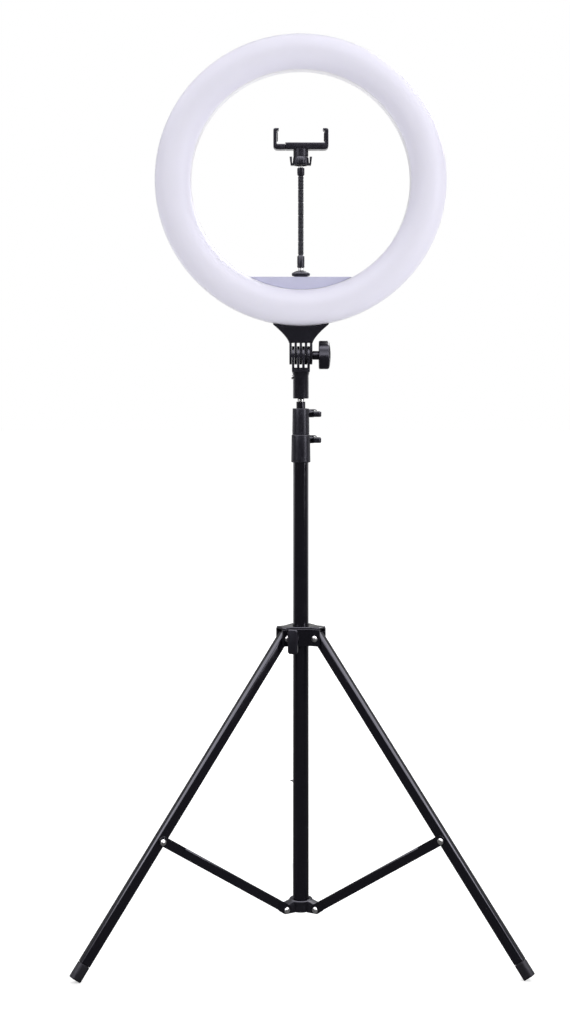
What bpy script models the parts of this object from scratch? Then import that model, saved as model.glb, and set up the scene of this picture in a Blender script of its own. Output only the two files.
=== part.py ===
"""Ring light on a folding tripod stand, with a gooseneck phone clamp inside the ring.

Metres, +Z up, the floor at z = 0 and the origin under the middle of the stand's footprint.
The light faces -Y. The stand is open with both risers down, the ring upright, the clamp closed.
"""

import math

import bmesh
import bpy
from mathutils import Matrix, Vector

MM = 0.001
TAU = 2 * math.pi

# Gaps between pieces
FIT = 0.3 * MM  # between two pieces that touch
RUN = 0.4 * MM  # beside a piece that turns or slides

# Tripod linkage, in the vertical plane of each leg
ARM_ANGLES = {"left": -150, "right": -30, "rear": 90}  # degrees from +X
PIVOT_RADIUS = 25 * MM  # leg and brace pivots, from the column axis
LEG_LENGTH = 473 * MM  # from the leg pivot to the end of the foot
LEG_TO_PIN = 288.7 * MM
LEG_ANGLE = math.radians(36.74)  # from vertical, open
BRACE_LENGTH = 205.2 * MM
FOOT_CUT = 0.6 * MM  # how much of the foot's corner is flat on the floor

# Legs and braces
LEG_DEPTH = 14 * MM  # in the leg's plane
LEG_WIDTH = 12 * MM
LEG_CORNER = 3.4 * MM
LEG_WALL = 1.1 * MM
LEG_OFFSET = 1.5 * MM  # tube's middle, outwards of the line through its pins
LEG_TOP = 5.4 * MM  # above its pivot
FOOT_LENGTH = 20 * MM
FOOT_PLUG = 14 * MM
PLUG_WALL = 1.4 * MM
BRACE_SHEET = 1.2 * MM
BRACE_LIP = 4.6 * MM  # open edge of the channel below the pin line
BRACE_END = 6 * MM
WEB_SETBACK = 31 * MM  # from the leg pin to the channel's web
WEB_START = 14 * MM  # from the hub pin to the web
PIN_RADIUS = 2.4 * MM
PIN_HEAD_RADIUS = 3.9 * MM
PIN_HEAD = 2.0 * MM
RIVET_TAIL = 2.6 * MM

# Hub that slides on the column
HUB_BELOW = 9.5 * MM  # under the leg pivot
HUB_ABOVE = 13 * MM
HUB_TOP_PLATE = 3 * MM
EAR_WALL = 3 * MM
EAR_REACH = 31.6 * MM
EAR_CORNER = 2.6 * MM
HUB_PANEL = 18.5 * MM  # flat sides between the ears, from the axis
HUB_SLEEVE = 14.2 * MM
HUB_BOSS_RADIUS = 5 * MM
HUB_BOSS_REACH = 23.4 * MM
HUB_LEVER_ANGLE = -109  # degrees from +X
HUB_STEM_RADIUS = 5.2 * MM
HUB_STEM = 6.2 * MM
HUB_WING_LENGTH = 31 * MM
HUB_WING_WIDTH = 12.6 * MM
HUB_WING_THICK = 5 * MM
HUB_WING_CORNER = 3 * MM
HUB_WING_DROP = 2 * MM  # the wing's middle below its screw

# Hub at the foot of the column
CUP_BELOW = 5.5 * MM  # under the brace pivot
CUP_ABOVE = 9.5 * MM
CUP_RADIUS = 13.0 * MM
CUP_RIM_RADIUS = 14.8 * MM
CUP_FLOOR = 2.4 * MM
TONGUE_RADIUS = 5.5 * MM

# Column
BASE_RADIUS = 10 * MM
BASE_WALL = 0.9 * MM
LOWER_RISER_RADIUS = 7.9 * MM
UPPER_RISER_RADIUS = 5.7 * MM
RISER_WALL = 0.8 * MM
BUSH_LENGTH = 22 * MM
RISER_FOOT_GAP = 6 * MM  # between a riser's lower end and the stop under it
UPPER_RISER_RISE = 8.5 * MM  # seen above the upper collar
CAP_THICK = 3.4 * MM  # the plug in the upper riser's top end
CAP_EDGE = 0.8 * MM

# Collars that clamp the risers
LOWER_COLLAR_Z = 603.3 * MM
LOWER_COLLAR_HEIGHT = 35.3 * MM
LOWER_COLLAR_RADIUS = 12.4 * MM
UPPER_COLLAR_HEIGHT = 33.0 * MM
UPPER_COLLAR_RADIUS = 11.0 * MM
COLLAR_TAPER = 0.5 * MM
COLLAR_SEAT = 22 * MM  # length of tube inside the collar
LUG_LENGTH = 5.0 * MM
LUG_REACH = 9.5 * MM
LUG_HEIGHT = 11 * MM
LUG_DROP = 6.6 * MM  # bolt axis below the collar's top
LUG_SLIT = 1.4 * MM
CLAMP_BOLT_RADIUS = 1.8 * MM
NUT_RADIUS = 4.0 * MM
NUT_LENGTH = 3.4 * MM
LEVER_STEM = 5.3 * MM
LEVER_REACH = 16.0 * MM
LEVER_WING_LENGTH = 10.4 * MM
LEVER_WING_THICK = 7.0 * MM
LEVER_WING_SPAN = 22 * MM

# Spigot and the tilt head
SPIGOT_RADIUS = 3.3 * MM
SPIGOT_BASE_RADIUS = 4.2 * MM
SPIGOT_TIP_RADIUS = 2.4 * MM
SPIGOT_LENGTH = 31 * MM
SPIGOT_TIP = 6 * MM
SPIGOT_HEAD = 3 * MM
SPIGOT_BASE = 7 * MM
SPIGOT_PEG = 2.6 * MM  # the tip that goes down into the riser's plug
SPIGOT_GAP = 4.0 * MM  # metal seen between the riser and the socket
SOCKET_RADIUS = 10 * MM
SOCKET_LENGTH = 30 * MM
SOCKET_BORE_DEPTH = 29 * MM
LOCK_SCREW_RADIUS = 1.6 * MM
LOCK_SCREW_HEAD = 2.6 * MM
LOCK_SCREW_DROP = 3.0 * MM  # below the socket's neck
FINGER_COUNT = 5  # on the bracket; the socket has one fewer
FINGER_STACK = 29.2 * MM  # over all the fingers, along the hinge
FINGER_RADIUS = 11.7 * MM
FINGER_CLEAR = 3.9 * MM  # open gap between one comb's tips and the other's root
COMB_INSET = 1.3 * MM  # bracket's fingers, inside its front and back
HINGE_ABOVE_SOCKET = 24.9 * MM
HINGE_BOLT_RADIUS = 2.5 * MM
KNOB_NECK_RADIUS = 5.6 * MM
KNOB_NECK = 8 * MM
KNOB_RADIUS = 18.6 * MM
KNOB_LENGTH = 15 * MM
KNOB_LOBES = 7
KNOB_DIP = 1.8 * MM
KNOB_SEAT = 8 * MM  # length of the bolt inside the knob

# Ring light
RIM_ABOVE_HINGE = 37.5 * MM  # the ring's lowest point
RING_Y = -4 * MM  # joint plane of shell and diffuser, before the column
RING_RADIUS = 185.2 * MM
RING_BAND = 45.8 * MM
SHELL_WALL = 2.2 * MM
SHELL_BACK = 18 * MM
SHELL_LIP = 5 * MM
SHELL_CORNER = 5 * MM
DIFFUSER_WALL = 2 * MM
DIFFUSER_DOME = 22 * MM
DIFFUSER_SKIRT = 9 * MM
RING_STEPS = 44
SHELF_RISE = 16.3 * MM  # shelf's top above the lowest point of the ring's hole
SHELF_FRONT = 4 * MM
SHELF_BACK = 14 * MM
SHELF_WALL = 2.4 * MM
COVER_SHEET = 1.6 * MM
BOARD_SHEET = 1.6 * MM
COVER_LIP = 1.2 * MM
DRIVER_SIZE = (14 * MM, 4.4 * MM)
DRIVER_CAN = 7 * MM
LED_RINGS = 2
LEDS_PER_RING = 12
LED_SIZE = 3.2 * MM
LED_HEIGHT = 0.9 * MM

# Bracket under the ring
FUNNEL_WIDTH = 70.5 * MM
FUNNEL_DEPTH = 22 * MM
NECK_ABOVE_HINGE = 16 * MM
FLARE_POWER = 1.4  # 1 would be straight sides, more is hollower
NECK_MARGIN = 0.5 * MM  # neck beyond the fingers, each side

# Controls on the ring's back
CONTROL_SPREAD = 24 * MM
CONTROL_KNOB_RADIUS = 7.5 * MM
CONTROL_KNOB_LENGTH = 11 * MM
CONTROL_KNOB_DIP = 0.7 * MM
CONTROL_STEM_RADIUS = 3 * MM
INLET_RADIUS = 5.2 * MM
INLET_DEPTH = 9 * MM
INLET_SOCKET_RADIUS = 3.0 * MM
INLET_FLANGE = 1.6 * MM  # flange's reach and height

# Shoe, gooseneck and phone clamp
SHOE_WIDTH = 22 * MM
SHOE_END = 1.6 * MM  # wall at the rail's closed front end
SHOE_HEIGHT = 3.8 * MM
SHOE_LIP = 0.9 * MM
SHOE_FLOOR = 1.1 * MM
SHOE_SLOT = 12 * MM
FOOT_PLATE = 18 * MM
POST_RADIUS = 2.5 * MM
DISC_RADIUS = 11.6 * MM
DISC_HEIGHT = 7.4 * MM
POST_COLLAR = 3.6 * MM
FERRULE_RADIUS = 4.65 * MM
LOWER_FERRULE = 16.6 * MM
UPPER_FERRULE = 10.6 * MM
LINK_COUNT = 6
LINK_PITCH = 16.6 * MM
LINK_RIBS = 6
HOSE_RADIUS = 3.75 * MM
RIB_DEPTH = 0.45 * MM
LINK_BALL = 2.6 * MM
LINK_GAP = 0.6 * MM
STUD_RADIUS = 1.8 * MM
STUD_LENGTH = 5 * MM  # of a stud inside a ferrule
STUD_COLLAR = 1.6 * MM
BALL_RADIUS = 6.0 * MM
BALL_ABOVE_FERRULE = 12.4 * MM
NUT_WING_TOP = 14.3 * MM
NUT_WING_BOTTOM = 12.9 * MM
NUT_WING_WIDTH = 9 * MM
NUT_WALL = 1.6 * MM
NUT_SLOT = 1.5 * MM  # between the nut and its wings
NUT_ABOVE_FERRULE = 3.2 * MM
BALL_NUT_HEIGHT = 11.0 * MM
SOCKET_MOUTH = 4.2 * MM  # mouth of the clamp's socket below the ball's middle
THREAD_RADIUS = 7.8 * MM
HEAD_RADIUS = 9.5 * MM
HEAD_RISE = 10.6 * MM  # underside of the clamp's bar above the ball
CLAMP_WIDTH = 70 * MM
CLAMP_DEPTH = 16 * MM
BAR_HEIGHT = 8.8 * MM
BAR_STEP = 1.9 * MM
JAW_HEIGHT = 27 * MM  # over the bar and the jaw
JAW_WALL = 5.2 * MM
JAW_HOOK = 3 * MM
JAW_HOOK_HEIGHT = 4.4 * MM
CLAMP_CORNER = 4 * MM
JAW_EDGE = 1.5 * MM  # the jaws' small chamfers
SLIDE_BLOCK = 15 * MM
TONGUE_WIDTH = 10 * MM
TONGUE_HEIGHT = 4.2 * MM
TONGUE_LENGTH = 44 * MM
PAD_SHEET = 1.2 * MM

# Derived places
PIN_RADIUS_OPEN = PIVOT_RADIUS + LEG_TO_PIN * math.sin(LEG_ANGLE)
BRACE_ANGLE = math.acos((PIN_RADIUS_OPEN - PIVOT_RADIUS) / BRACE_LENGTH)
LEG_PIVOT_Z = (
    LEG_LENGTH * math.cos(LEG_ANGLE)
    + (LEG_DEPTH / 2 - LEG_OFFSET) * math.sin(LEG_ANGLE)
    - FOOT_CUT
)
BRACE_PIVOT_Z = (
    LEG_PIVOT_Z - LEG_TO_PIN * math.cos(LEG_ANGLE) - BRACE_LENGTH * math.sin(BRACE_ANGLE)
)
LEG_REACH = (  # of each foot, from the column's axis
    PIVOT_RADIUS
    + LEG_LENGTH * math.sin(LEG_ANGLE)
    + (LEG_DEPTH / 2 + LEG_OFFSET) * math.cos(LEG_ANGLE)
)
FRONT_REACH = LEG_REACH / 2 + LEG_WIDTH / 2 * math.cos(math.radians(30))
COLUMN_Y = (FRONT_REACH - LEG_REACH) / 2  # puts the footprint's middle on the origin
COLUMN_FOOT_Z = BRACE_PIVOT_Z - CUP_BELOW + CUP_FLOOR + FIT
BASE_TOP_Z = LOWER_COLLAR_Z + COLLAR_SEAT
LOWER_COLLAR_TOP_Z = LOWER_COLLAR_Z + LOWER_COLLAR_HEIGHT
UPPER_COLLAR_Z = LOWER_COLLAR_TOP_Z + FIT
UPPER_COLLAR_TOP_Z = UPPER_COLLAR_Z + UPPER_COLLAR_HEIGHT
LOWER_RISER_TOP_Z = UPPER_COLLAR_Z + COLLAR_SEAT
UPPER_RISER_TOP_Z = UPPER_COLLAR_TOP_Z + UPPER_RISER_RISE
LOWER_RISER_FOOT_Z = COLUMN_FOOT_Z + RISER_FOOT_GAP
UPPER_RISER_FOOT_Z = LOWER_RISER_FOOT_Z + RISER_FOOT_GAP
SOCKET_Z = UPPER_RISER_TOP_Z + SPIGOT_GAP
HINGE_Z = SOCKET_Z + SOCKET_LENGTH + HINGE_ABOVE_SOCKET
RING_ABOVE_HINGE = RING_RADIUS + RIM_ABOVE_HINGE
RING_Z = HINGE_Z + RING_ABOVE_HINGE
RING_INNER = RING_RADIUS - RING_BAND
SHELF_BELOW_CENTRE = RING_INNER - SHELF_RISE
COMB_DEPTH = FUNNEL_DEPTH / 2 - COMB_INSET
FINGER_ROOT = FINGER_RADIUS + FINGER_CLEAR  # bottom of the slots, from the hinge
SHELF_Z = RING_Z - SHELF_BELOW_CENTRE
SHOE_FRONT_Y = RING_Y - SHELF_FRONT + SHELF_WALL + FIT
SHOE_BACK_Y = RING_Y + SHELF_BACK
FINGER_LAYERS = 2 * FINGER_COUNT - 1
FINGER = (FINGER_STACK - (FINGER_LAYERS - 1) * FIT) / FINGER_LAYERS
FINGER_PITCH = FINGER + FIT
EAR_INNER = LEG_WIDTH / 2 + RUN
EAR_OUTER = EAR_INNER + EAR_WALL
FLANGE_INNER = LEG_WIDTH / 2 + RUN + 0.2 * MM
FLANGE_OUTER = FLANGE_INNER + BRACE_SHEET
WEB_INNER = LEG_DEPTH / 2 - LEG_OFFSET + RUN
DISC_Z = SHELF_Z + FIT
POST_COLLAR_Z = DISC_Z + DISC_HEIGHT + FIT
FERRULE_Z = POST_COLLAR_Z + POST_COLLAR + FIT
FIRST_JOINT_Z = FERRULE_Z + LOWER_FERRULE
LAST_JOINT_Z = FIRST_JOINT_Z + LINK_COUNT * LINK_PITCH
FERRULE_TOP_Z = LAST_JOINT_Z + UPPER_FERRULE
BALL_Z = FERRULE_TOP_Z + BALL_ABOVE_FERRULE
BAR_Z = BALL_Z + HEAD_RISE
CLAMP_TOP_Z = BAR_Z + JAW_HEIGHT
TONGUE_MIDDLE = (BAR_HEIGHT - BAR_STEP) / 2  # above the underside of the bar

PARTS = "ring_light"
MATERIALS = {
    "tube_black": ((0.012, 0.011, 0.016), 0.28, 0.6),
    "plastic_black": ((0.014, 0.013, 0.017), 0.45, 0.0),
    "rubber_black": ((0.02, 0.02, 0.022), 0.75, 0.0),
    "steel": ((0.62, 0.62, 0.64), 0.25, 1.0),
    "shell_white": ((0.82, 0.82, 0.86), 0.4, 0.0),
    "diffuser_white": ((0.78, 0.77, 0.88), 0.5, 0.0),
    "board_white": ((0.75, 0.77, 0.72), 0.6, 0.0),
    "board_green": ((0.03, 0.16, 0.06), 0.5, 0.0),
}


# ---------------------------------------------------------------- scene


def clear_scene():
    for obj in list(bpy.data.objects):
        bpy.data.objects.remove(obj, do_unlink=True)
    for name in (PARTS, "cutters"):
        bpy.context.scene.collection.children.link(bpy.data.collections.new(name))


def material(name):
    found = bpy.data.materials.get(name)
    if found:
        return found
    colour, roughness, metallic = MATERIALS[name]
    made = bpy.data.materials.new(name)
    made.use_nodes = True
    shader = made.node_tree.nodes["Principled BSDF"]
    shader.inputs["Base Color"].default_value = (*colour, 1)
    shader.inputs["Roughness"].default_value = roughness
    shader.inputs["Metallic"].default_value = metallic
    made.diffuse_color = (*colour, 1)
    return made


def pivot(name, place, turn=(0, 0, 0), parent=None):
    """An empty on a joint's axis, which carries what moves there."""
    empty = bpy.data.objects.new(name, None)
    empty.location, empty.rotation_euler, empty.parent = place, turn, parent
    empty.empty_display_size = 0.02
    bpy.data.collections[PARTS].objects.link(empty)
    bpy.context.view_layer.update()
    return empty


def add(name, mesh, place=(0, 0, 0), turn=(0, 0, 0), parent=None, look=None):
    """An object in the parts collection, or with no look a tool in the cutters' one."""
    obj = bpy.data.objects.new(name, mesh)
    obj.location, obj.rotation_euler, obj.parent = place, turn, parent
    bpy.data.collections[PARTS if look else "cutters"].objects.link(obj)
    if look:
        mesh.materials.clear()
        mesh.materials.append(material(look))
        mesh.shade_smooth()
        mesh.set_sharp_from_angle(angle=math.radians(35))
    else:
        obj.hide_render, obj.display_type = True, "WIRE"
    return obj


def boolean(obj, tool, operation="DIFFERENCE"):
    step = obj.modifiers.new(f"{operation.lower()} {tool.name}", "BOOLEAN")
    step.operation, step.object, step.solver = operation, tool, "EXACT"
    return obj


def cut(obj, *tools):
    for tool in tools:
        boolean(obj, tool)
    return obj


def join(obj, *tools):
    for tool in tools:
        boolean(obj, tool, "UNION")
    return obj


def baked(obj):
    """The object's finished mesh, welded, with its modifiers and none of its placing."""
    bpy.context.view_layer.update()
    graph = bpy.context.evaluated_depsgraph_get()
    mesh = bpy.data.meshes.new_from_object(obj.evaluated_get(graph))
    work = bmesh.new()
    work.from_mesh(mesh)
    bmesh.ops.remove_doubles(work, verts=work.verts, dist=1e-6)
    bmesh.ops.recalc_face_normals(work, faces=work.faces)
    work.to_mesh(mesh)
    work.free()
    return mesh


# ---------------------------------------------------------------- shapes


def box_mesh(size, centre=(0, 0, 0)):
    mesh, work = bpy.data.meshes.new("box"), bmesh.new()
    bmesh.ops.create_cube(work, size=1)
    bmesh.ops.scale(work, vec=size, verts=work.verts)
    bmesh.ops.translate(work, vec=centre, verts=work.verts)
    work.to_mesh(mesh)
    work.free()
    return mesh


def span_mesh(low, high):
    """A box between two corners."""
    low, high = Vector(low), Vector(high)
    return box_mesh(high - low, (low + high) / 2)


def rod_mesh(radius, start, end, sides=24, top_radius=None):
    """A cylinder or cone from start to end along X, Y or Z, whichever they differ in."""
    mesh, work = bpy.data.meshes.new("rod"), bmesh.new()
    start, end = Vector(start), Vector(end)
    bmesh.ops.create_cone(
        work,
        cap_ends=True,
        segments=sides,
        radius1=radius,
        radius2=radius if top_radius is None else top_radius,
        depth=(end - start).length,
        matrix=Matrix.Translation((start + end) / 2)
        @ (end - start).to_track_quat("Z", "Y").to_matrix().to_4x4(),
    )
    work.to_mesh(mesh)
    work.free()
    return mesh


def turned_mesh(profile, steps=24, closed=False):
    """The profile's (radius, height) points turned about Z by a Screw."""
    mesh = bpy.data.meshes.new("profile")
    count = len(profile)
    edges = [(i, i + 1) for i in range(count - 1)] + ([(count - 1, 0)] if closed else [])
    mesh.from_pydata([(r, 0, z) for r, z in profile], edges, [])
    obj = bpy.data.objects.new("profile", mesh)
    bpy.context.scene.collection.objects.link(obj)
    screw = obj.modifiers.new("turn", "SCREW")
    screw.axis, screw.angle, screw.steps, screw.render_steps = "Z", TAU, steps, steps
    screw.use_merge_vertices, screw.merge_threshold = True, 1e-6
    result = baked(obj)
    bpy.data.objects.remove(obj)
    return result


def plate_mesh(outlines, thickness):
    """Flat outlines in XY, the ones inside another being holes, made this thick about z = 0."""
    curve = bpy.data.curves.new("outline", "CURVE")
    curve.dimensions, curve.fill_mode, curve.extrude = "2D", "BOTH", thickness / 2
    for outline in outlines:
        spline = curve.splines.new("POLY")
        spline.points.add(len(outline) - 1)
        for point, (x, y) in zip(spline.points, outline):
            point.co = (x, y, 0, 1)
        spline.use_cyclic_u = True
    obj = bpy.data.objects.new("outline", curve)
    bpy.context.scene.collection.objects.link(obj)
    result = baked(obj)
    bpy.data.objects.remove(obj)
    return result


def arc(radius, start, end, count, centre=(0, 0)):
    """Points on a circle from one angle in degrees to another, both ends included."""
    angles = [math.radians(start + (end - start) * i / (count - 1)) for i in range(count)]
    return [(centre[0] + radius * math.cos(a), centre[1] + radius * math.sin(a)) for a in angles]


def circle(radius, count, centre=(0, 0)):
    return arc(radius, 0, 360, count + 1, centre)[:-1]


def rounded(width, height, corner, count=3):
    """A rectangle about the origin with round corners."""
    x, y = width / 2 - corner, height / 2 - corner
    corners = ((x, y, 0), (-x, y, 90), (-x, -y, 180), (x, -y, 270))
    return [p for cx, cy, a in corners for p in arc(corner, a, a + 90, count, (cx, cy))]


def soften(obj, width, segments=1, angle=40):
    bevel = obj.modifiers.new("edges", "BEVEL")
    bevel.width, bevel.segments, bevel.limit_method = width, segments, "ANGLE"
    bevel.angle_limit = math.radians(angle)
    return obj


# ---------------------------------------------------------------- tripod


def arm_frame(side, height, name, root):
    """An empty at an arm's pivot: +X outwards, +Y along the pivot, +Z up."""
    angle = math.radians(ARM_ANGLES[side])
    place = (PIVOT_RADIUS * math.cos(angle), PIVOT_RADIUS * math.sin(angle), height)
    return pivot(f"{name}_{side}_pivot", place, (0, 0, angle), root)


def leg_mesh():
    """A rounded rectangular tube hanging from its pivot at the origin, bored for the pivot."""
    length = LEG_TOP + LEG_LENGTH - FOOT_LENGTH - FIT
    outer = rounded(LEG_DEPTH, LEG_WIDTH, LEG_CORNER, 4)
    inner = rounded(
        LEG_DEPTH - 2 * LEG_WALL, LEG_WIDTH - 2 * LEG_WALL, LEG_CORNER - LEG_WALL, 2
    )
    middle = Matrix.Translation((LEG_OFFSET, 0, LEG_TOP - length / 2))
    tube_mesh = plate_mesh([outer, inner], length)
    tube_mesh.transform(middle)
    tube = add("leg_blank", tube_mesh)
    bore = add(
        "leg_bore",
        rod_mesh(PIN_RADIUS + FIT, (0, -LEG_WIDTH, 0), (0, LEG_WIDTH, 0), 10),
    )
    cut(tube, bore)
    mesh = baked(tube)
    bpy.data.objects.remove(tube)
    return mesh


def foot_mesh():
    """A cap as thick as the leg, with a hollow plug that goes up into it."""
    cap = add(
        "cap_blank", plate_mesh([rounded(LEG_DEPTH, LEG_WIDTH, LEG_CORNER)], FOOT_LENGTH)
    )
    gap = 2 * (LEG_WALL + FIT)
    plug_size = (LEG_DEPTH - gap, LEG_WIDTH - gap)
    corner = LEG_CORNER - LEG_WALL - FIT
    outer = rounded(*plug_size, corner, 2)
    inner = rounded(
        plug_size[0] - 2 * PLUG_WALL, plug_size[1] - 2 * PLUG_WALL, corner / 2, 2
    )
    plug = add("plug_blank", plate_mesh([outer, inner], FOOT_PLUG + 2 * MM))
    plug.location.z = FOOT_LENGTH / 2 + FOOT_PLUG / 2 - MM
    soften(cap, 1.2 * MM)
    join(cap, plug)
    mesh = baked(cap)
    mesh.transform(Matrix.Translation((LEG_OFFSET, 0, -LEG_LENGTH + FOOT_LENGTH / 2)))
    bpy.data.objects.remove(cap)
    return mesh


def brace_outline():
    """The side of a brace: round at both ends, with the pins nearer its open edge."""
    low, high = -BRACE_LIP, WEB_INNER + BRACE_SHEET
    middle, radius = (low + high) / 2, (high - low) / 2
    near = arc(radius, 90, 270, 6, (radius - BRACE_END, middle))
    far = arc(radius, -90, 90, 6, (BRACE_LENGTH + BRACE_END - radius, middle))
    return near + far


def brace_mesh():
    """A channel along +X from its hub pivot, its web on top, with split rivets at the leg end."""
    width, tall = 2 * FLANGE_OUTER, 4 * WEB_INNER
    mesh = plate_mesh([brace_outline()], width)
    mesh.transform(Matrix.Rotation(math.pi / 2, 4, "X"))
    channel = add("brace_blank", mesh)
    reach = BRACE_LENGTH + 4 * BRACE_END
    y = FLANGE_INNER
    inside = add("brace_inside", span_mesh((-reach, -y, -tall), (reach, y, WEB_INNER)))
    web_end = add(
        "brace_web_end",
        span_mesh((BRACE_LENGTH - WEB_SETBACK, -y, -tall), (2 * reach, y, tall)),
    )
    near_end = add("brace_hub_end", span_mesh((-reach, -y, -tall), (WEB_START, y, tall)))
    bore = add(
        "brace_bore", rod_mesh(PIN_RADIUS + FIT, (0, -width, 0), (0, width, 0), 10)
    )
    cut(channel, inside, web_end, near_end, bore)
    for side in (-1, 1):
        start, end = FLANGE_INNER + 0.3 * MM, FLANGE_OUTER + PIN_HEAD
        head = add(
            "rivet_head",
            rod_mesh(
                PIN_HEAD_RADIUS,
                (BRACE_LENGTH, side * start, 0),
                (BRACE_LENGTH, side * end, 0),
                12,
                PIN_HEAD_RADIUS * 0.75,
            ),
        )
        join(channel, head)
        if side > 0:
            tail = add(
                "rivet_tail",
                rod_mesh(
                    PIN_RADIUS,
                    (BRACE_LENGTH, end - MM, 0),
                    (BRACE_LENGTH, end + RIVET_TAIL, 0),
                    8,
                ),
            )
            join(channel, tail)
    result = baked(channel)
    bpy.data.objects.remove(channel)
    return result


def pin_mesh(half_length):
    """A pivot bolt along Y, with a round head at each end."""
    r, head = PIN_RADIUS, PIN_HEAD_RADIUS
    end = half_length + FIT
    profile = [
        (0, end + PIN_HEAD),
        (head * 0.8, end + PIN_HEAD),
        (head, end),
        (r, end),
        (r, -end),
        (head, -end),
        (head * 0.8, -end - PIN_HEAD),
        (0, -end - PIN_HEAD),
    ]
    mesh = turned_mesh(profile, 10)
    mesh.transform(Matrix.Rotation(math.pi / 2, 4, "X"))
    return mesh


def floor_cutter(root):
    size = 4 * LEG_LENGTH
    return add("floor_cut", box_mesh((size, size, 0.1), (0, 0, -0.05)), parent=root)


def legs_and_braces(root):
    leg, foot, brace = leg_mesh(), foot_mesh(), brace_mesh()
    leg_pin, brace_pin = pin_mesh(EAR_OUTER), pin_mesh(FLANGE_OUTER)
    floor = floor_cutter(root)
    for side in ARM_ANGLES:
        top = arm_frame(side, LEG_PIVOT_Z, "leg", root)
        swing = pivot(f"leg_{side}_hinge", (0, 0, 0), (0, -LEG_ANGLE, 0), top)
        add(f"leg_{side}", leg, parent=swing, look="tube_black")
        cap = add(f"foot_{side}", foot.copy(), parent=swing, look="plastic_black")
        cut(cap, floor)
        add(f"leg_pin_{side}", leg_pin, parent=top, look="steel")
        low = arm_frame(side, BRACE_PIVOT_Z, "brace", root)
        swing = pivot(f"brace_{side}_hinge", (0, 0, 0), (0, -BRACE_ANGLE, 0), low)
        add(f"brace_{side}", brace, parent=swing, look="tube_black")
        add(f"brace_pin_{side}", brace_pin, parent=low, look="steel")


def ring_of_arms(points_of_arm):
    """An outline made of one arm's points, turned to each arm in turn."""
    found = []
    for angle in sorted(ARM_ANGLES.values()):
        a = math.radians(angle)
        for x, y in points_of_arm:
            found.append(
                (x * math.cos(a) - y * math.sin(a), x * math.sin(a) + y * math.cos(a))
            )
    return found


def hub_arm_points():
    """One arm of the sliding hub from above: two ears and the round corners at their ends."""
    half = math.radians(60)
    root = (HUB_PANEL - EAR_OUTER * math.sin(half)) / math.cos(half)
    x, y = EAR_REACH - EAR_CORNER, EAR_OUTER - EAR_CORNER
    return (
        [(root, -EAR_OUTER)]
        + arc(EAR_CORNER, -90, 0, 3, (x, -y))
        + arc(EAR_CORNER, 0, 90, 3, (x, y))
        + [(root, EAR_OUTER)]
    )


def leg_hub(frame):
    """The hub that slides on the column: ears for the legs, flat sides between, a clamp boss."""
    height = HUB_BELOW + HUB_ABOVE
    outlines = [ring_of_arms(hub_arm_points()), circle(BASE_RADIUS + RUN, 24)]
    hub = add("leg_hub", plate_mesh(outlines, height), parent=frame, look="plastic_black")
    middle = (HUB_ABOVE - HUB_BELOW) / 2
    hub.data.transform(Matrix.Translation((0, 0, middle)))
    roof = HUB_ABOVE - HUB_TOP_PLATE
    low = -HUB_BELOW - 2 * MM
    angle = math.radians(HUB_LEVER_ANGLE)
    boss = add(
        "hub_boss",
        rod_mesh(HUB_BOSS_RADIUS, (HUB_SLEEVE - MM, 0, 0), (HUB_BOSS_REACH, 0, 0), 14),
        turn=(0, 0, angle),
        parent=frame,
    )
    for side, degrees in ARM_ANGLES.items():
        slot = add(
            f"hub_slot_{side}",
            span_mesh((HUB_SLEEVE, -EAR_INNER, low), (2 * EAR_REACH, EAR_INNER, roof)),
            turn=(0, 0, math.radians(degrees)),
            parent=frame,
        )
        bore = add(
            f"hub_pin_bore_{side}",
            rod_mesh(
                PIN_RADIUS + FIT,
                (PIVOT_RADIUS, -2 * EAR_OUTER, 0),
                (PIVOT_RADIUS, 2 * EAR_OUTER, 0),
                10,
            ),
            turn=(0, 0, math.radians(degrees)),
            parent=frame,
        )
        cut(hub, slot, bore)
    join(hub, boss)
    screw = add(
        "hub_screw_bore",
        rod_mesh(
            CLAMP_BOLT_RADIUS + FIT,
            (BASE_RADIUS - MM, 0, 0),
            (2 * HUB_BOSS_REACH, 0, 0),
            10,
        ),
        turn=(0, 0, angle),
        parent=frame,
    )
    cut(hub, screw)
    return hub


def hub_lever(frame):
    """The wing that clamps the hub: a screw through the boss and a wing hanging from it."""
    turn = pivot(
        "hub_lever_pivot", (0, 0, 0), (0, 0, math.radians(HUB_LEVER_ANGLE)), frame
    )
    start = HUB_BOSS_REACH + FIT
    wing = add(
        "hub_lever",
        plate_mesh([rounded(HUB_WING_LENGTH, HUB_WING_WIDTH, HUB_WING_CORNER)], HUB_WING_THICK),
        parent=turn,
        look="plastic_black",
    )
    stem_end = start + HUB_STEM
    wing.data.transform(
        Matrix.Translation((stem_end + HUB_WING_THICK / 2 - 0.5 * MM, 0, -HUB_WING_DROP))
        @ Matrix.Rotation(math.pi / 2, 4, "Y")
    )
    soften(wing, 1.0 * MM)
    stem = add(
        "hub_lever_stem",
        rod_mesh(HUB_STEM_RADIUS, (start, 0, 0), (stem_end + MM, 0, 0), 14),
        parent=turn,
    )
    screw = add(
        "hub_lever_screw",
        rod_mesh(
            CLAMP_BOLT_RADIUS, (BASE_RADIUS + RUN + FIT, 0, 0), (start + MM, 0, 0), 8
        ),
        parent=turn,
    )
    join(wing, stem, screw)


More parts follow.
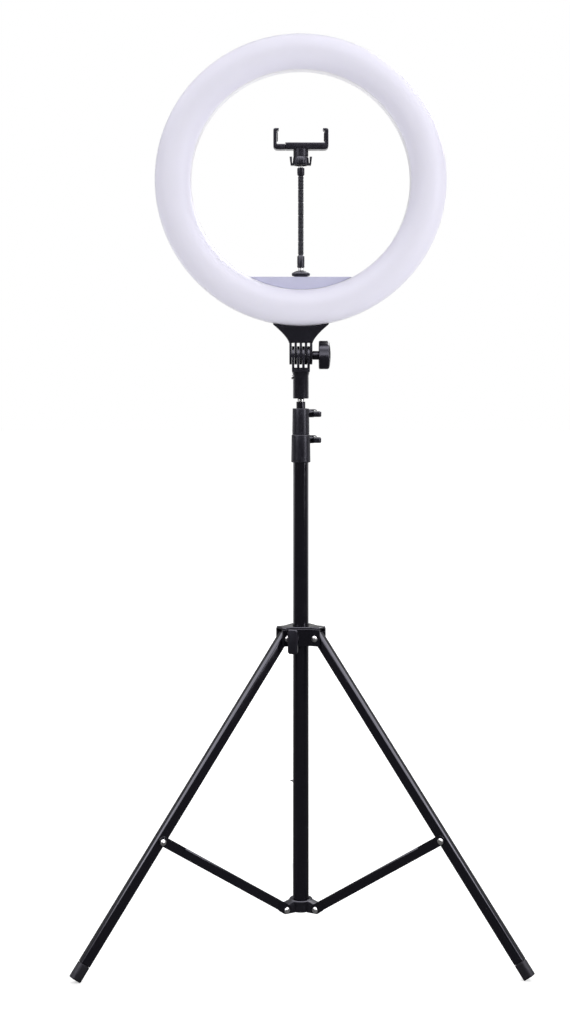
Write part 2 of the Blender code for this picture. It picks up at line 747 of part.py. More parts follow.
def brace_hub(root):
    """The cup at the column's foot, with a flared rim and a tongue for each brace."""
    frame = pivot("brace_hub_frame", (0, 0, BRACE_PIVOT_Z), parent=root)
    bore = BASE_RADIUS + FIT
    floor = -CUP_BELOW + CUP_FLOOR
    profile = [
        (CUP_RIM_RADIUS - MM, CUP_ABOVE),
        (CUP_RIM_RADIUS, CUP_ABOVE - 0.8 * MM),
        (CUP_RIM_RADIUS, CUP_ABOVE - 2.4 * MM),
        (CUP_RADIUS, CUP_ABOVE - 7 * MM),
        (CUP_RADIUS, -CUP_BELOW + 1.5 * MM),
        (CUP_RADIUS - 1.5 * MM, -CUP_BELOW),
        (0, -CUP_BELOW),
        (0, floor),
        (bore, floor),
        (bore, CUP_ABOVE - 2.5 * MM),
        (CUP_RIM_RADIUS - 1.8 * MM, CUP_ABOVE),
    ]
    hub = add(
        "brace_hub", turned_mesh(profile, 22, closed=True), parent=frame, look="plastic_black"
    )
    width = 2 * (FLANGE_INNER - RUN)
    tip = [(PIVOT_RADIUS + x, y) for x, y in arc(TONGUE_RADIUS, -90, 90, 7)]
    root = bore + 1.6 * MM
    outline = [(root, -TONGUE_RADIUS)] + tip + [(root, TONGUE_RADIUS + 4 * MM)]
    for side, degrees in ARM_ANGLES.items():
        mesh = plate_mesh([outline], width)
        mesh.transform(Matrix.Rotation(math.pi / 2, 4, "X"))
        tongue = add(
            f"tongue_{side}", mesh, turn=(0, 0, math.radians(degrees)), parent=frame
        )
        join(hub, tongue)
    for side, degrees in ARM_ANGLES.items():
        hole = add(
            f"tongue_bore_{side}",
            rod_mesh(
                PIN_RADIUS + FIT, (PIVOT_RADIUS, -width, 0), (PIVOT_RADIUS, width, 0), 10
            ),
            turn=(0, 0, math.radians(degrees)),
            parent=frame,
        )
        cut(hub, hole)


# ---------------------------------------------------------------- column


def base_tube(root):
    r, wall = BASE_RADIUS, BASE_WALL
    profile = [
        (r, BASE_TOP_Z),
        (r, COLUMN_FOOT_Z),
        (r - wall, COLUMN_FOOT_Z),
        (r - wall, BASE_TOP_Z),
    ]
    mesh = turned_mesh(profile, 24, closed=True)
    add("base_tube", mesh, parent=root, look="tube_black")


def riser(name, radius, outer_wall_radius, foot, top, capped, root):
    """A tube with a guide bush round its foot, and a plug in its top end if it is capped."""
    bush, bore = outer_wall_radius - RUN, radius - RISER_WALL
    length = top - foot
    profile = [
        (radius, BUSH_LENGTH),
        (bush, BUSH_LENGTH - (bush - radius)),
        (bush, 0),
        (bore, 0),
    ]
    if capped:
        hole, edge = SPIGOT_TIP_RADIUS + FIT, CAP_EDGE
        profile += [(bore, length - CAP_THICK), (hole, length - CAP_THICK), (hole, length)]
        profile += [(radius - edge, length), (radius, length - edge)]
    else:
        profile += [(bore, length), (radius, length)]
    frame = pivot(f"{name}_slide", (0, 0, foot), parent=root)
    mesh = turned_mesh(profile, 20, closed=True)
    return add(name, mesh, parent=frame, look="tube_black")


def collar(name, foot, height, radius, tube_radius, riser_radius, root):
    """A split sleeve: it seats on its tube, guides the riser and has a lug each side of its slit."""
    frame = pivot(f"{name}_frame", (0, 0, foot), parent=root)
    seat, bore = tube_radius + FIT, riser_radius + FIT
    step = COLLAR_SEAT + FIT
    top_radius = radius - COLLAR_TAPER
    profile = [
        (top_radius - 0.8 * MM, height),
        (top_radius, height - 0.8 * MM),
        (radius, 0.8 * MM),
        (radius - 0.6 * MM, 0),
        (seat, 0),
        (seat, step),
        (bore, step),
        (bore, height),
    ]
    sleeve = add(
        name, turned_mesh(profile, 22, closed=True), parent=frame, look="plastic_black"
    )
    z = height - LUG_DROP
    reach = radius + LUG_REACH
    half = LUG_SLIT / 2 + LUG_LENGTH
    lugs = add(
        f"{name}_lugs",
        span_mesh(
            (-half, bore + 1.2 * MM, z - LUG_HEIGHT / 2), (half, reach, z + LUG_HEIGHT / 2)
        ),
        parent=frame,
    )
    soften(lugs, 1.6 * MM)
    foot_block = add(
        f"{name}_block",
        span_mesh(
            (-half, seat + 0.7 * MM, 1.2 * MM),
            (half, radius + 3.2 * MM, z - LUG_HEIGHT / 2 - 1.5 * MM),
        ),
        parent=frame,
    )
    soften(foot_block, 1.2 * MM)
    slit = add(
        f"{name}_slit",
        span_mesh(
            (-LUG_SLIT / 2, 0, z - LUG_HEIGHT / 2 - 1.5 * MM),
            (LUG_SLIT / 2, 2 * reach, 2 * height),
        ),
        parent=frame,
    )
    axis_y = radius + LUG_REACH / 2 + 0.4 * MM
    bolt_bore = add(
        f"{name}_bolt_bore",
        rod_mesh(CLAMP_BOLT_RADIUS + FIT, (-2 * half, axis_y, z), (2 * half, axis_y, z), 10),
        parent=frame,
    )
    cut(join(sleeve, lugs, foot_block), slit, bolt_bore)
    return frame, axis_y, z, half


def clamp_bolt(name, frame, axis_y, z, half):
    """The collar's bolt along X, its hexagonal nut on the left of the lugs."""
    end = half + LEVER_STEM
    bolt = add(
        name,
        rod_mesh(CLAMP_BOLT_RADIUS, (-half - NUT_LENGTH, 0, 0), (end, 0, 0), 10),
        place=(0, axis_y, z),
        parent=frame,
        look="steel",
    )
    nut = add(
        f"{name}_nut",
        rod_mesh(NUT_RADIUS, (-half - FIT - NUT_LENGTH, 0, 0), (-half - FIT, 0, 0), 6),
        place=(0, axis_y, z),
        parent=frame,
    )
    join(bolt, nut)


def clamp_lever(name, frame, axis_y, z, half):
    """The winged lever on the bolt's right end: a stem, a wing across it and a thumb tab."""
    turn = pivot(f"{name}_pivot", (0, axis_y, z), parent=frame)
    start = half + FIT
    wing_mesh = plate_mesh(
        [rounded(LEVER_WING_LENGTH + 2 * MM, LEVER_WING_SPAN, 3 * MM)], LEVER_WING_THICK
    )
    middle = LEVER_REACH + LEVER_WING_LENGTH / 2 - MM
    wing_mesh.transform(Matrix.Translation((middle, 0, -1.0 * MM)))
    lever = add(name, wing_mesh, parent=turn, look="plastic_black")
    soften(lever, 1.0 * MM)
    stem = add(
        f"{name}_stem",
        rod_mesh(LEVER_STEM, (start, 0, 0), (LEVER_REACH + MM, 0, 0), 14),
        parent=turn,
    )
    tab_points = arc(9 * MM, 100, 60, 4) + arc(7.7 * MM, 60, 100, 4)
    tab_mesh = plate_mesh([tab_points], 9 * MM)
    tab_mesh.transform(
        Matrix.Translation((LEVER_REACH + 0.6 * MM, 0, -3.8 * MM))
        @ Matrix.Rotation(math.pi / 2, 4, "X")
    )
    tab = add(f"{name}_tab", tab_mesh, parent=turn)
    bore = add(
        f"{name}_bore",
        rod_mesh(
            CLAMP_BOLT_RADIUS + FIT,
            (start - MM, 0, 0),
            (half + LEVER_STEM + FIT, 0, 0),
            10,
        ),
        parent=turn,
    )
    cut(join(lever, stem, tab), bore)


def spigot(root):
    """The turned steel stud on the riser: base, stem, head and a thin tip."""
    frame = pivot("spigot_frame", (0, 0, UPPER_RISER_TOP_Z), parent=root)
    stem, base, tip = SPIGOT_RADIUS, SPIGOT_BASE_RADIUS, SPIGOT_TIP_RADIUS
    length = SPIGOT_LENGTH
    profile = [
        (0, length),
        (tip - 0.5 * MM, length),
        (tip, length - 0.6 * MM),
        (tip, length - SPIGOT_TIP),
        (base, length - SPIGOT_TIP - 0.4 * MM),
        (base, length - SPIGOT_TIP - SPIGOT_HEAD),
        (stem, length - SPIGOT_TIP - SPIGOT_HEAD - 0.6 * MM),
        (stem, SPIGOT_BASE + MM),
        (base, SPIGOT_BASE),
        (base, FIT),
        (tip, FIT),
        (tip, -SPIGOT_PEG),
        (0, -SPIGOT_PEG),
    ]
    add("spigot", turned_mesh(profile, 12), parent=frame, look="steel")


# ---------------------------------------------------------------- tilt head


def finger_layers(first, count):
    """The (start, end) of each finger along the hinge, taking every second layer from first."""
    left = -FINGER_STACK / 2
    return [
        (left + (first + 2 * i) * FINGER_PITCH, left + (first + 2 * i) * FINGER_PITCH + FINGER)
        for i in range(count)
    ]


def across_hinge(outline, start, end):
    """An outline in YZ made a plate that runs from start to end along X."""
    mesh = plate_mesh([outline], end - start)
    turn = Matrix.Rotation(math.pi / 2, 4, "Z") @ Matrix.Rotation(math.pi / 2, 4, "X")
    mesh.transform(Matrix.Translation(((start + end) / 2, 0, 0)) @ turn)
    return mesh


def comb_cutters(name, frame, layers, upwards):
    """What clears the other comb's fingers: between and beside the layers, out to their root."""
    edges = [-FINGER_STACK] + [x for layer in layers for x in layer] + [FINGER_STACK]
    root = FINGER_ROOT if upwards else -FINGER_ROOT
    low, high = sorted((root, -2 * root))
    wide = FUNNEL_DEPTH + FINGER_RADIUS
    outline = [(-wide, low), (wide, low), (wide, high), (-wide, high)]
    return [
        add(f"{name}_gap_{i // 2}", across_hinge(outline, edges[i], edges[i + 1]), parent=frame)
        for i in range(0, len(edges), 2)
    ]


def spigot_socket(frame):
    """The head's lower half: a socket for the spigot under a comb of round-ended fingers."""
    bottom = -HINGE_ABOVE_SOCKET - SOCKET_LENGTH
    neck = -HINGE_ABOVE_SOCKET
    width = FINGER_STACK - 2 * FINGER_PITCH
    bore = SPIGOT_BASE_RADIUS + RUN
    profile = [
        (0, neck + 6 * MM),
        (width / 2 - 0.6 * MM, neck + 6 * MM),
        (width / 2, neck + 5 * MM),
        (width / 2, neck + 3.4 * MM),
        (SOCKET_RADIUS, neck),
        (SOCKET_RADIUS, bottom + 0.8 * MM),
        (SOCKET_RADIUS - 0.8 * MM, bottom),
        (bore, bottom),
        (bore, bottom + SOCKET_BORE_DEPTH),
        (0, bottom + SOCKET_BORE_DEPTH + 1.5 * MM),
    ]
    socket = add(
        "spigot_socket", turned_mesh(profile, 21), parent=frame, look="plastic_black"
    )
    side = arc(FINGER_RADIUS, 0, 180, 9) + [
        (-FINGER_RADIUS, neck + 4 * MM),
        (FINGER_RADIUS, neck + 4 * MM),
    ]
    comb = add("socket_comb", across_hinge(side, -width / 2, width / 2), parent=frame)
    join(socket, comb)
    layers = finger_layers(1, FINGER_COUNT - 1)
    cut(socket, *comb_cutters("socket", frame, layers, upwards=False))
    hole = add(
        "socket_hinge_bore",
        rod_mesh(HINGE_BOLT_RADIUS + FIT, (-FINGER_STACK, 0, 0), (FINGER_STACK, 0, 0), 10),
        parent=frame,
    )
    lock_z = neck - LOCK_SCREW_DROP
    screw_hole = add(
        "socket_screw_bore",
        rod_mesh(
            LOCK_SCREW_RADIUS + FIT, (-2 * SOCKET_RADIUS, 0, lock_z), (-2 * MM, 0, lock_z), 8
        ),
        parent=frame,
    )
    cut(socket, hole, screw_hole)
    screw = add(
        "socket_lock_screw",
        rod_mesh(
            LOCK_SCREW_RADIUS, (-SOCKET_RADIUS - 0.8 * MM, 0, 0), (-bore - 0.2 * MM, 0, 0), 8
        ),
        place=(0, 0, lock_z),
        parent=frame,
        look="steel",
    )
    tip = add(
        "lock_screw_head",
        rod_mesh(
            LOCK_SCREW_HEAD, (-SOCKET_RADIUS - 2.0 * MM, 0, 0), (-SOCKET_RADIUS - FIT, 0, 0), 12
        ),
        place=(0, 0, lock_z),
        parent=frame,
    )
    join(screw, tip)


def funnel_outline():
    """The bracket from the front: a neck that flares in two concave curves to the ring's rim."""
    neck_x, top_x = FINGER_STACK / 2 + NECK_MARGIN, FUNNEL_WIDTH / 2
    neck_z = NECK_ABOVE_HINGE
    rim = RING_RADIUS + FIT
    top_z = RING_ABOVE_HINGE - math.sqrt(rim**2 - top_x**2)
    wing_z = top_z - 1.4 * MM
    side = []
    for i in range(7):
        t = i / 6
        x = neck_x + (top_x - neck_x) * t**FLARE_POWER
        side.append((x, neck_z + (wing_z - neck_z) * t))
    half_angle = math.degrees(math.asin(top_x / rim))
    top = arc(rim, -90 + half_angle, -90 - half_angle, 7, (0, RING_ABOVE_HINGE))
    mirrored = [(-x, z) for x, z in reversed(side)]
    low = FINGER_ROOT - 2 * MM
    return [(neck_x, low)] + side + top + mirrored[1:] + [(-neck_x, low)]


def ring_bracket(frame):
    """The bracket that carries the ring: five fingers below, a flared saddle above."""
    mesh = plate_mesh([funnel_outline()], FUNNEL_DEPTH)
    mesh.transform(Matrix.Rotation(math.pi / 2, 4, "X"))
    funnel = add("ring_bracket", mesh, parent=frame, look="plastic_black")
    soften(funnel, 1.0 * MM, 1, 50)
    top = FINGER_ROOT + 1.5 * MM
    side = arc(FINGER_RADIUS, 180, 360, 9) + [(COMB_DEPTH, top), (-COMB_DEPTH, top)]
    half = FINGER_STACK / 2
    comb = add("bracket_comb", across_hinge(side, -half, half), parent=frame)
    join(funnel, comb)
    layers = finger_layers(0, FINGER_COUNT)
    gaps = comb_cutters("bracket", frame, layers, upwards=True)
    cut(funnel, *gaps[1:-1])
    hole = add(
        "bracket_hinge_bore",
        rod_mesh(
            HINGE_BOLT_RADIUS + FIT, (-FINGER_STACK * 0.46, 0, 0), (FINGER_STACK, 0, 0), 10
        ),
        parent=frame,
    )
    cut(funnel, hole)


def lobed_outline(radius, depth, lobes, count):
    """A circle whose radius dips between its lobes: r = R - d (1 - cos(n a)) / 2."""
    found = []
    for i in range(count):
        a = TAU * i / count
        r = radius - depth * (1 - math.cos(lobes * a)) / 2
        found.append((r * math.cos(a), r * math.sin(a)))
    return found


def tilt_knob(frame):
    """The hinge bolt and the lobed knob on its right end."""
    turn = pivot("tilt_knob_pivot", (0, 0, 0), parent=frame)
    start = FINGER_STACK / 2 + FIT
    knob_start = start + KNOB_NECK
    end = knob_start + KNOB_LENGTH
    add(
        "tilt_bolt",
        rod_mesh(
            HINGE_BOLT_RADIUS,
            (-FINGER_STACK * 0.45, 0, 0),
            (knob_start + KNOB_SEAT, 0, 0),
            10,
        ),
        parent=turn,
        look="steel",
    )
    mesh = plate_mesh([lobed_outline(KNOB_RADIUS, KNOB_DIP, KNOB_LOBES, 35)], KNOB_LENGTH)
    mesh.transform(
        Matrix.Translation(((knob_start + end) / 2, 0, 0)) @ Matrix.Rotation(math.pi / 2, 4, "Y")
    )
    knob = add("tilt_knob", mesh, parent=turn, look="plastic_black")
    dome = [
        (0, end + 0.2 * MM),
        (KNOB_RADIUS * 0.5, end - 0.6 * MM),
        (KNOB_RADIUS * 0.85, end - 2.6 * MM),
        (KNOB_RADIUS + MM, end - 6.5 * MM),
        (KNOB_RADIUS + MM, knob_start + 3 * MM),
        (KNOB_RADIUS - 3 * MM, knob_start - 0.01 * MM),
        (0, knob_start - 0.01 * MM),
    ]
    dome_mesh = turned_mesh(dome, 21)
    dome_mesh.transform(Matrix.Rotation(math.pi / 2, 4, "Y"))
    boolean(knob, add("knob_dome", dome_mesh, parent=turn), "INTERSECT")
    neck = add(
        "knob_neck",
        rod_mesh(KNOB_NECK_RADIUS, (start, 0, 0), (knob_start + 2 * MM, 0, 0), 14),
        parent=turn,
    )
    bore = add(
        "knob_bore",
        rod_mesh(
            HINGE_BOLT_RADIUS + FIT, (start - MM, 0, 0), (knob_start + KNOB_SEAT + FIT, 0, 0), 10
        ),
        parent=turn,
    )
    cut(join(knob, neck), bore)


# ---------------------------------------------------------------- ring


def shell_profile():
    """Section of the housing, a channel open to the front, in (radius, forward)."""
    outer, inner, c = RING_RADIUS, RING_INNER, SHELL_CORNER
    back, lip, w = -SHELL_BACK, SHELL_LIP, SHELL_WALL
    return (
        [(outer, lip)]
        + arc(c, 0, -90, 3, (outer - c, back + c))
        + arc(c, -90, -180, 2, (inner + c, back + c))
        + [(inner, lip), (inner + w, lip)]
        + [(inner + w, back + c), (inner + c, back + w), (outer - c, back + w)]
        + [(outer - w, back + c)]
        + [(outer - w, lip)]
    )


def dome_points(middle, half, base, height, count):
    """Half an ellipse over the band, from its outer edge to its inner one."""
    found = []
    for i in range(count):
        a = math.pi * i / (count - 1)
        found.append((middle + half * math.cos(a), base + height * math.sin(a)))
    return found


def diffuser_profile():
    """Section of the diffuser, an arched sheet with a skirt down each edge."""
    outer = RING_RADIUS - SHELL_WALL - FIT
    inner = RING_INNER + SHELL_WALL + FIT
    middle, half = (outer + inner) / 2, (outer - inner) / 2
    base, foot = SHELL_LIP - MM, SHELL_LIP - DIFFUSER_SKIRT
    w = DIFFUSER_WALL
    top = dome_points(middle, half, base, DIFFUSER_DOME, 9)
    under = dome_points(middle, half - w, base, DIFFUSER_DOME - w, 7)
    outside = list(reversed(top))  # inner edge to outer edge, over the dome
    return (
        outside
        + [(outer, foot), (outer - w, foot)]
        + under
        + [(inner + w, foot), (inner, foot)]
    )


def shelf_outline(inset=0.0):
    """The segment between the shelf's straight edge and the rim of the ring's hole."""
    rim = RING_INNER * math.cos(math.pi / RING_STEPS) - FIT - inset  # inside the hole's facets
    half_angle = math.degrees(math.acos((SHELF_BELOW_CENTRE + inset) / rim))
    return arc(rim, -90 - half_angle, -90 + half_angle, 13)


def ring_frame(frame):
    """Faces the ring: local +Z is forward (-Y), local +Y is up."""
    return pivot("ring_axis", (0, RING_Y, RING_ABOVE_HINGE), (math.pi / 2, 0, 0), frame)


def ring_shell(frame):
    """The ring's housing, a channel open to the front, bored at the back for the controls."""
    shell = add(
        "ring_back_shell",
        turned_mesh(shell_profile(), RING_STEPS, closed=True),
        parent=frame,
        look="shell_white",
    )
    back = -SHELL_BACK
    z = -(RING_RADIUS - RING_BAND / 2)
    for name, x, r in (
        ("brightness", -CONTROL_SPREAD, CONTROL_STEM_RADIUS),
        ("colour", CONTROL_SPREAD, CONTROL_STEM_RADIUS),
        ("inlet", 0, INLET_RADIUS),
    ):
        hole = add(
            f"{name}_bore",
            rod_mesh(r + FIT, (x, z, back - MM), (x, z, back + SHELL_WALL + MM), 12),
            parent=frame,
        )
        cut(shell, hole)


def ring_shelf(frame):
    """The shelf in the bottom of the ring's hole: hollow, open at the back, pocketed for the shoe."""
    thick = SHELF_FRONT + SHELF_BACK
    middle = (SHELF_FRONT - SHELF_BACK) / 2
    shelf = add(
        "ring_shelf",
        plate_mesh([shelf_outline()], thick),
        (0, 0, middle),
        parent=frame,
        look="shell_white",
    )
    hollow = add(
        "shelf_hollow",
        plate_mesh([shelf_outline(SHELF_WALL)], thick),
        (0, 0, middle - SHELF_WALL),
        parent=frame,
    )
    recess = add(
        "cover_recess",
        plate_mesh([shelf_outline(COVER_LIP)], thick),
        (0, 0, middle - thick + COVER_SHEET + FIT),
        parent=frame,
    )
    side, depth = SHOE_WIDTH / 2 + FIT, SHOE_HEIGHT + FIT
    front = RING_Y - SHOE_FRONT_Y + FIT
    wall = SHELF_WALL - FIT
    pocket = add(
        "shoe_pocket",
        span_mesh(
            (-side, -SHELF_BELOW_CENTRE - depth, -2 * SHELF_BACK),
            (side, -SHELF_BELOW_CENTRE + 5 * MM, front),
        ),
        parent=frame,
    )
    base = add(
        "shoe_base",
        span_mesh(
            (-side - wall, -SHELF_BELOW_CENTRE - depth - wall, COVER_SHEET + FIT - SHELF_BACK),
            (side + wall, -SHELF_BELOW_CENTRE - 0.5 * MM, SHELF_FRONT - MM),
        ),
        parent=frame,
    )
    cut(shelf, hollow, recess)
    join(shelf, base)
    cut(shelf, pocket)


def ring_electronics(frame):
    """The lamp board in the ring, with its rings of chips, and the power inlet at the back."""
    inner = RING_INNER + SHELL_CORNER + MM
    outer = RING_RADIUS - SHELL_CORNER - MM
    board_z = -SHELL_BACK + SHELL_WALL + FIT + BOARD_SHEET / 2
    board = add(
        "led_board",
        plate_mesh([circle(outer, 32), circle(inner, 32)], BOARD_SHEET),
        (0, 0, board_z),
        parent=frame,
        look="board_white",
    )
    work, chips = bmesh.new(), bpy.data.meshes.new("led_chips")
    for ring in range(LED_RINGS):
        radius = inner + (outer - inner) * (ring + 1) / (LED_RINGS + 1)
        for i in range(LEDS_PER_RING):
            angle = TAU * (i + 0.5 * ring) / LEDS_PER_RING
            place = Matrix.Rotation(angle, 4, "Z") @ Matrix.Translation(
                (radius, 0, BOARD_SHEET / 2)
            )
            size = Matrix.Diagonal((LED_SIZE, LED_SIZE, 2 * LED_HEIGHT, 1))
            bmesh.ops.create_cube(work, size=1, matrix=place @ size)
    work.to_mesh(chips)
    work.free()
    join(board, add("led_chips", chips, (0, 0, board_z), parent=frame))
    inlet_z = -(RING_RADIUS - RING_BAND / 2)
    hole = add(
        "board_inlet_notch",
        rod_mesh(INLET_RADIUS + MM, (0, inlet_z, -2 * SHELL_BACK), (0, inlet_z, 0), 12),
        parent=frame,
    )
    cut(board, hole)
    inlet = add(
        "power_inlet",
        rod_mesh(
            INLET_RADIUS, (0, 0, -SHELL_BACK - MM), (0, 0, -SHELL_BACK + INLET_DEPTH), 16
        ),
        (0, inlet_z, 0),
        parent=frame,
        look="plastic_black",
    )
    flange = add(
        "inlet_flange",
        rod_mesh(
            INLET_RADIUS + INLET_FLANGE,
            (0, 0, -SHELL_BACK - INLET_FLANGE),
            (0, 0, -SHELL_BACK - FIT),
            16,
        ),
        (0, inlet_z, 0),
        parent=frame,
    )
    socket = add(
        "inlet_socket",
        rod_mesh(
            INLET_SOCKET_RADIUS,
            (0, 0, -SHELL_BACK - 2 * INLET_FLANGE),
            (0, 0, -SHELL_BACK + INLET_DEPTH - 2 * MM),
            12,
        ),
        (0, inlet_z, 0),
        parent=frame,
    )
    cut(join(inlet, flange), socket)


def shelf_parts(frame):
    """The shelf's back cover, notched for the shoe, and the driver board inside."""
    cover = add(
        "shelf_cover",
        plate_mesh([shelf_outline(COVER_LIP + FIT)], COVER_SHEET),
        (0, 0, -SHELF_BACK + COVER_SHEET / 2),
        parent=frame,
        look="shell_white",
    )
    side = SHOE_WIDTH / 2 + FIT
    notch = add(
        "cover_notch",
        span_mesh(
            (-side, -SHELF_BELOW_CENTRE - SHOE_HEIGHT - FIT, -2 * SHELF_BACK), (side, 0, 0)
        ),
        parent=frame,
    )
    cut(cover, notch)
    hollow_top = -SHELF_BELOW_CENTRE - SHELF_WALL
    height = hollow_top - FIT - DRIVER_SIZE[1] / 2
    board_z = SHELF_FRONT - SHELF_WALL - FIT - BOARD_SHEET / 2
    x = -(side + SHELF_WALL + MM + DRIVER_SIZE[0] / 2)
    driver = add(
        "driver_board",
        box_mesh((*DRIVER_SIZE, BOARD_SHEET)),
        (x, height, board_z),
        parent=frame,
        look="board_green",
    )
    can = add(
        "driver_can",
        rod_mesh(DRIVER_SIZE[1] * 0.45, (0, 0, 0), (0, 0, -DRIVER_CAN), 12),
        (x - DRIVER_SIZE[0] / 4, height, board_z),
        parent=frame,
    )
    join(driver, can)


def ring_diffuser(frame):
    add(
        "ring_diffuser",
        turned_mesh(diffuser_profile(), RING_STEPS, closed=True),
        parent=frame,
        look="diffuser_white",
    )


def control_knob(name, x, frame):
    """A small ribbed knob with a stem through the housing's back."""
    z = -(RING_RADIUS - RING_BAND / 2)
    turn = pivot(f"{name}_pivot", (x, z, -SHELL_BACK), (0, 0, 0), frame)
    length = CONTROL_KNOB_LENGTH
    knob = add(
        name,
        plate_mesh([lobed_outline(CONTROL_KNOB_RADIUS, CONTROL_KNOB_DIP, 10, 20)], length),
        parent=turn,
        look="plastic_black",
    )
    knob.data.transform(Matrix.Translation((0, 0, -FIT - length / 2)))
    soften(knob, 0.5 * MM, 1, 80)
    stem = add(
        f"{name}_stem",
        rod_mesh(CONTROL_STEM_RADIUS, (0, 0, -FIT - MM), (0, 0, SHELL_WALL - 0.6 * MM), 12),
        parent=turn,
    )
    slot = add(
        f"{name}_mark",
        box_mesh((1.2 * MM, 6 * MM, 1.2 * MM), (0, 3.6 * MM, -FIT - length)),
        parent=turn,
    )
    cut(join(knob, stem), slot)


# ---------------------------------------------------------------- phone clamp


def cold_shoe(frame):
    """A T-slotted rail set in the shelf's top, closed at the front and open to the back."""
    half, front, back = SHOE_WIDTH / 2, SHOE_FRONT_Y, SHOE_BACK_Y
    shoe = add(
        "cold_shoe",
        span_mesh((-half, front, -SHOE_HEIGHT), (half, back, 0)),
        parent=frame,
        look="steel",
    )
    inside = front + SHOE_END
    lips = add(
        "shoe_slot",
        span_mesh((-SHOE_SLOT / 2, inside, -SHOE_LIP - MM), (SHOE_SLOT / 2, 2 * back, MM)),
        parent=frame,
    )
    room = FOOT_PLATE / 2 + FIT
    channel = add(
        "shoe_channel",
        span_mesh((-room, inside, -SHOE_HEIGHT + SHOE_FLOOR), (room, 2 * back, -SHOE_LIP)),
        parent=frame,
    )
    cut(shoe, lips, channel)


def shoe_foot(frame):
    """The gooseneck's foot: a plate in the shoe and a threaded post with a collar."""
    thick = SHOE_HEIGHT - SHOE_FLOOR - SHOE_LIP - 2 * FIT
    low = -SHOE_HEIGHT + SHOE_FLOOR + FIT
    half = FOOT_PLATE / 2
    foot = add(
        "shoe_foot",
        span_mesh(
            (-half, SHOE_FRONT_Y + SHOE_END + FIT, low), (half, SHOE_BACK_Y - MM, low + thick)
        ),
        parent=frame,
        look="steel",
    )
    collar_z = POST_COLLAR_Z - SHELF_Z
    top = collar_z + POST_COLLAR
    profile = [
        (0, top + STUD_LENGTH),
        (STUD_RADIUS, top + STUD_LENGTH),
        (STUD_RADIUS, top),
        (POST_RADIUS + 0.8 * MM, top),
        (POST_RADIUS + 0.8 * MM, collar_z),
        (POST_RADIUS, collar_z),
        (POST_RADIUS, low + thick / 2),
        (0, low + thick / 2),
    ]
    join(foot, add("shoe_post", turned_mesh(profile, 14), parent=frame))


def lock_disc(frame):
    """The disc on the post, thick in the middle and thin at its rim, knurled as ridges."""
    h, r = DISC_HEIGHT, DISC_RADIUS
    bore = POST_RADIUS + FIT
    profile = [
        (bore, h),
        (r * 0.55, h),
        (r * 0.9, h * 0.72),
        (r, h * 0.52),
        (r, h * 0.34),
        (r * 0.93, h * 0.16),
        (r * 0.6, 0),
        (bore, 0),
    ]
    turn = pivot("lock_disc_pivot", (0, 0, FIT), parent=frame)
    add("shoe_lock_disc", turned_mesh(profile, 20, closed=True), parent=turn, look="plastic_black")


def ball_arc(radius, low, count):
    """A sphere's section from its top point down to the height low, as (radius, height)."""
    start, end = math.pi / 2, math.asin(low / radius)
    found = []
    for i in range(count):
        a = start + (end - start) * i / (count - 1)
        found.append((max(0.0, radius * math.cos(a)), radius * math.sin(a)))
    found[0] = (0.0, radius)
    return found


def ball_top(joint):
    """The ball that stands on a link, round the joint above it."""
    return [(r, joint + z) for r, z in ball_arc(LINK_BALL, -LINK_GAP, 4)]


def cup_bottom(joint):
    """The hollow under a link that holds the ball below, from its rim up to its top."""
    points = ball_arc(LINK_BALL + FIT, LINK_GAP, 3)
    return [(r, joint + z) for r, z in reversed(points)]


def rib_points(length):
    """A link's outside from its shoulder down: crests and hollows at the ribs' pitch."""
    pitch = (length - 2 * LINK_GAP) / LINK_RIBS
    found = []
    for i in range(LINK_RIBS):
        top = length - LINK_GAP - i * pitch
        found.append((HOSE_RADIUS - RIB_DEPTH, top))
        found.append((HOSE_RADIUS, top - pitch / 2))
    found.append((HOSE_RADIUS - RIB_DEPTH, LINK_GAP))
    return found


def link_mesh():
    return turned_mesh(ball_top(LINK_PITCH) + rib_points(LINK_PITCH) + cup_bottom(0), 10)


def gooseneck(frame):
    """Two ferrules and the ribbed links between them, each seated on the ball below it."""
    place = FERRULE_Z - SHELF_Z
    r, length = FERRULE_RADIUS, LOWER_FERRULE
    profile = ball_top(length) + [
        (HOSE_RADIUS, length - LINK_GAP),
        (r, length - 2 * MM),
        (r, 0.6 * MM),
        (r - 0.6 * MM, 0),
        (STUD_RADIUS + FIT, 0),
        (STUD_RADIUS + FIT, STUD_LENGTH + FIT),
        (0, STUD_LENGTH + FIT),
    ]
    lower = pivot("lower_ferrule_frame", (0, 0, place), parent=frame)
    add("lower_ferrule", turned_mesh(profile, 14), parent=lower, look="plastic_black")
    parent = pivot("link_1_joint", (0, 0, place + length), parent=frame)
    link = link_mesh()
    for i in range(1, LINK_COUNT + 1):
        add(f"gooseneck_link_{i}", link, parent=parent, look="plastic_black")
        name = f"link_{i + 1}_joint" if i < LINK_COUNT else "upper_ferrule_joint"
        parent = pivot(name, (0, 0, LINK_PITCH), parent=parent)
    top = UPPER_FERRULE
    bore = STUD_RADIUS + FIT
    profile = [
        (0, top - STUD_LENGTH - FIT),
        (bore, top - STUD_LENGTH - FIT),
        (bore, top),
        (r - 0.6 * MM, top),
        (r, top - 0.6 * MM),
        (r, 2 * MM),
        (HOSE_RADIUS, LINK_GAP),
    ] + cup_bottom(0)
    add("upper_ferrule", turned_mesh(profile, 14), parent=parent, look="plastic_black")
    return parent


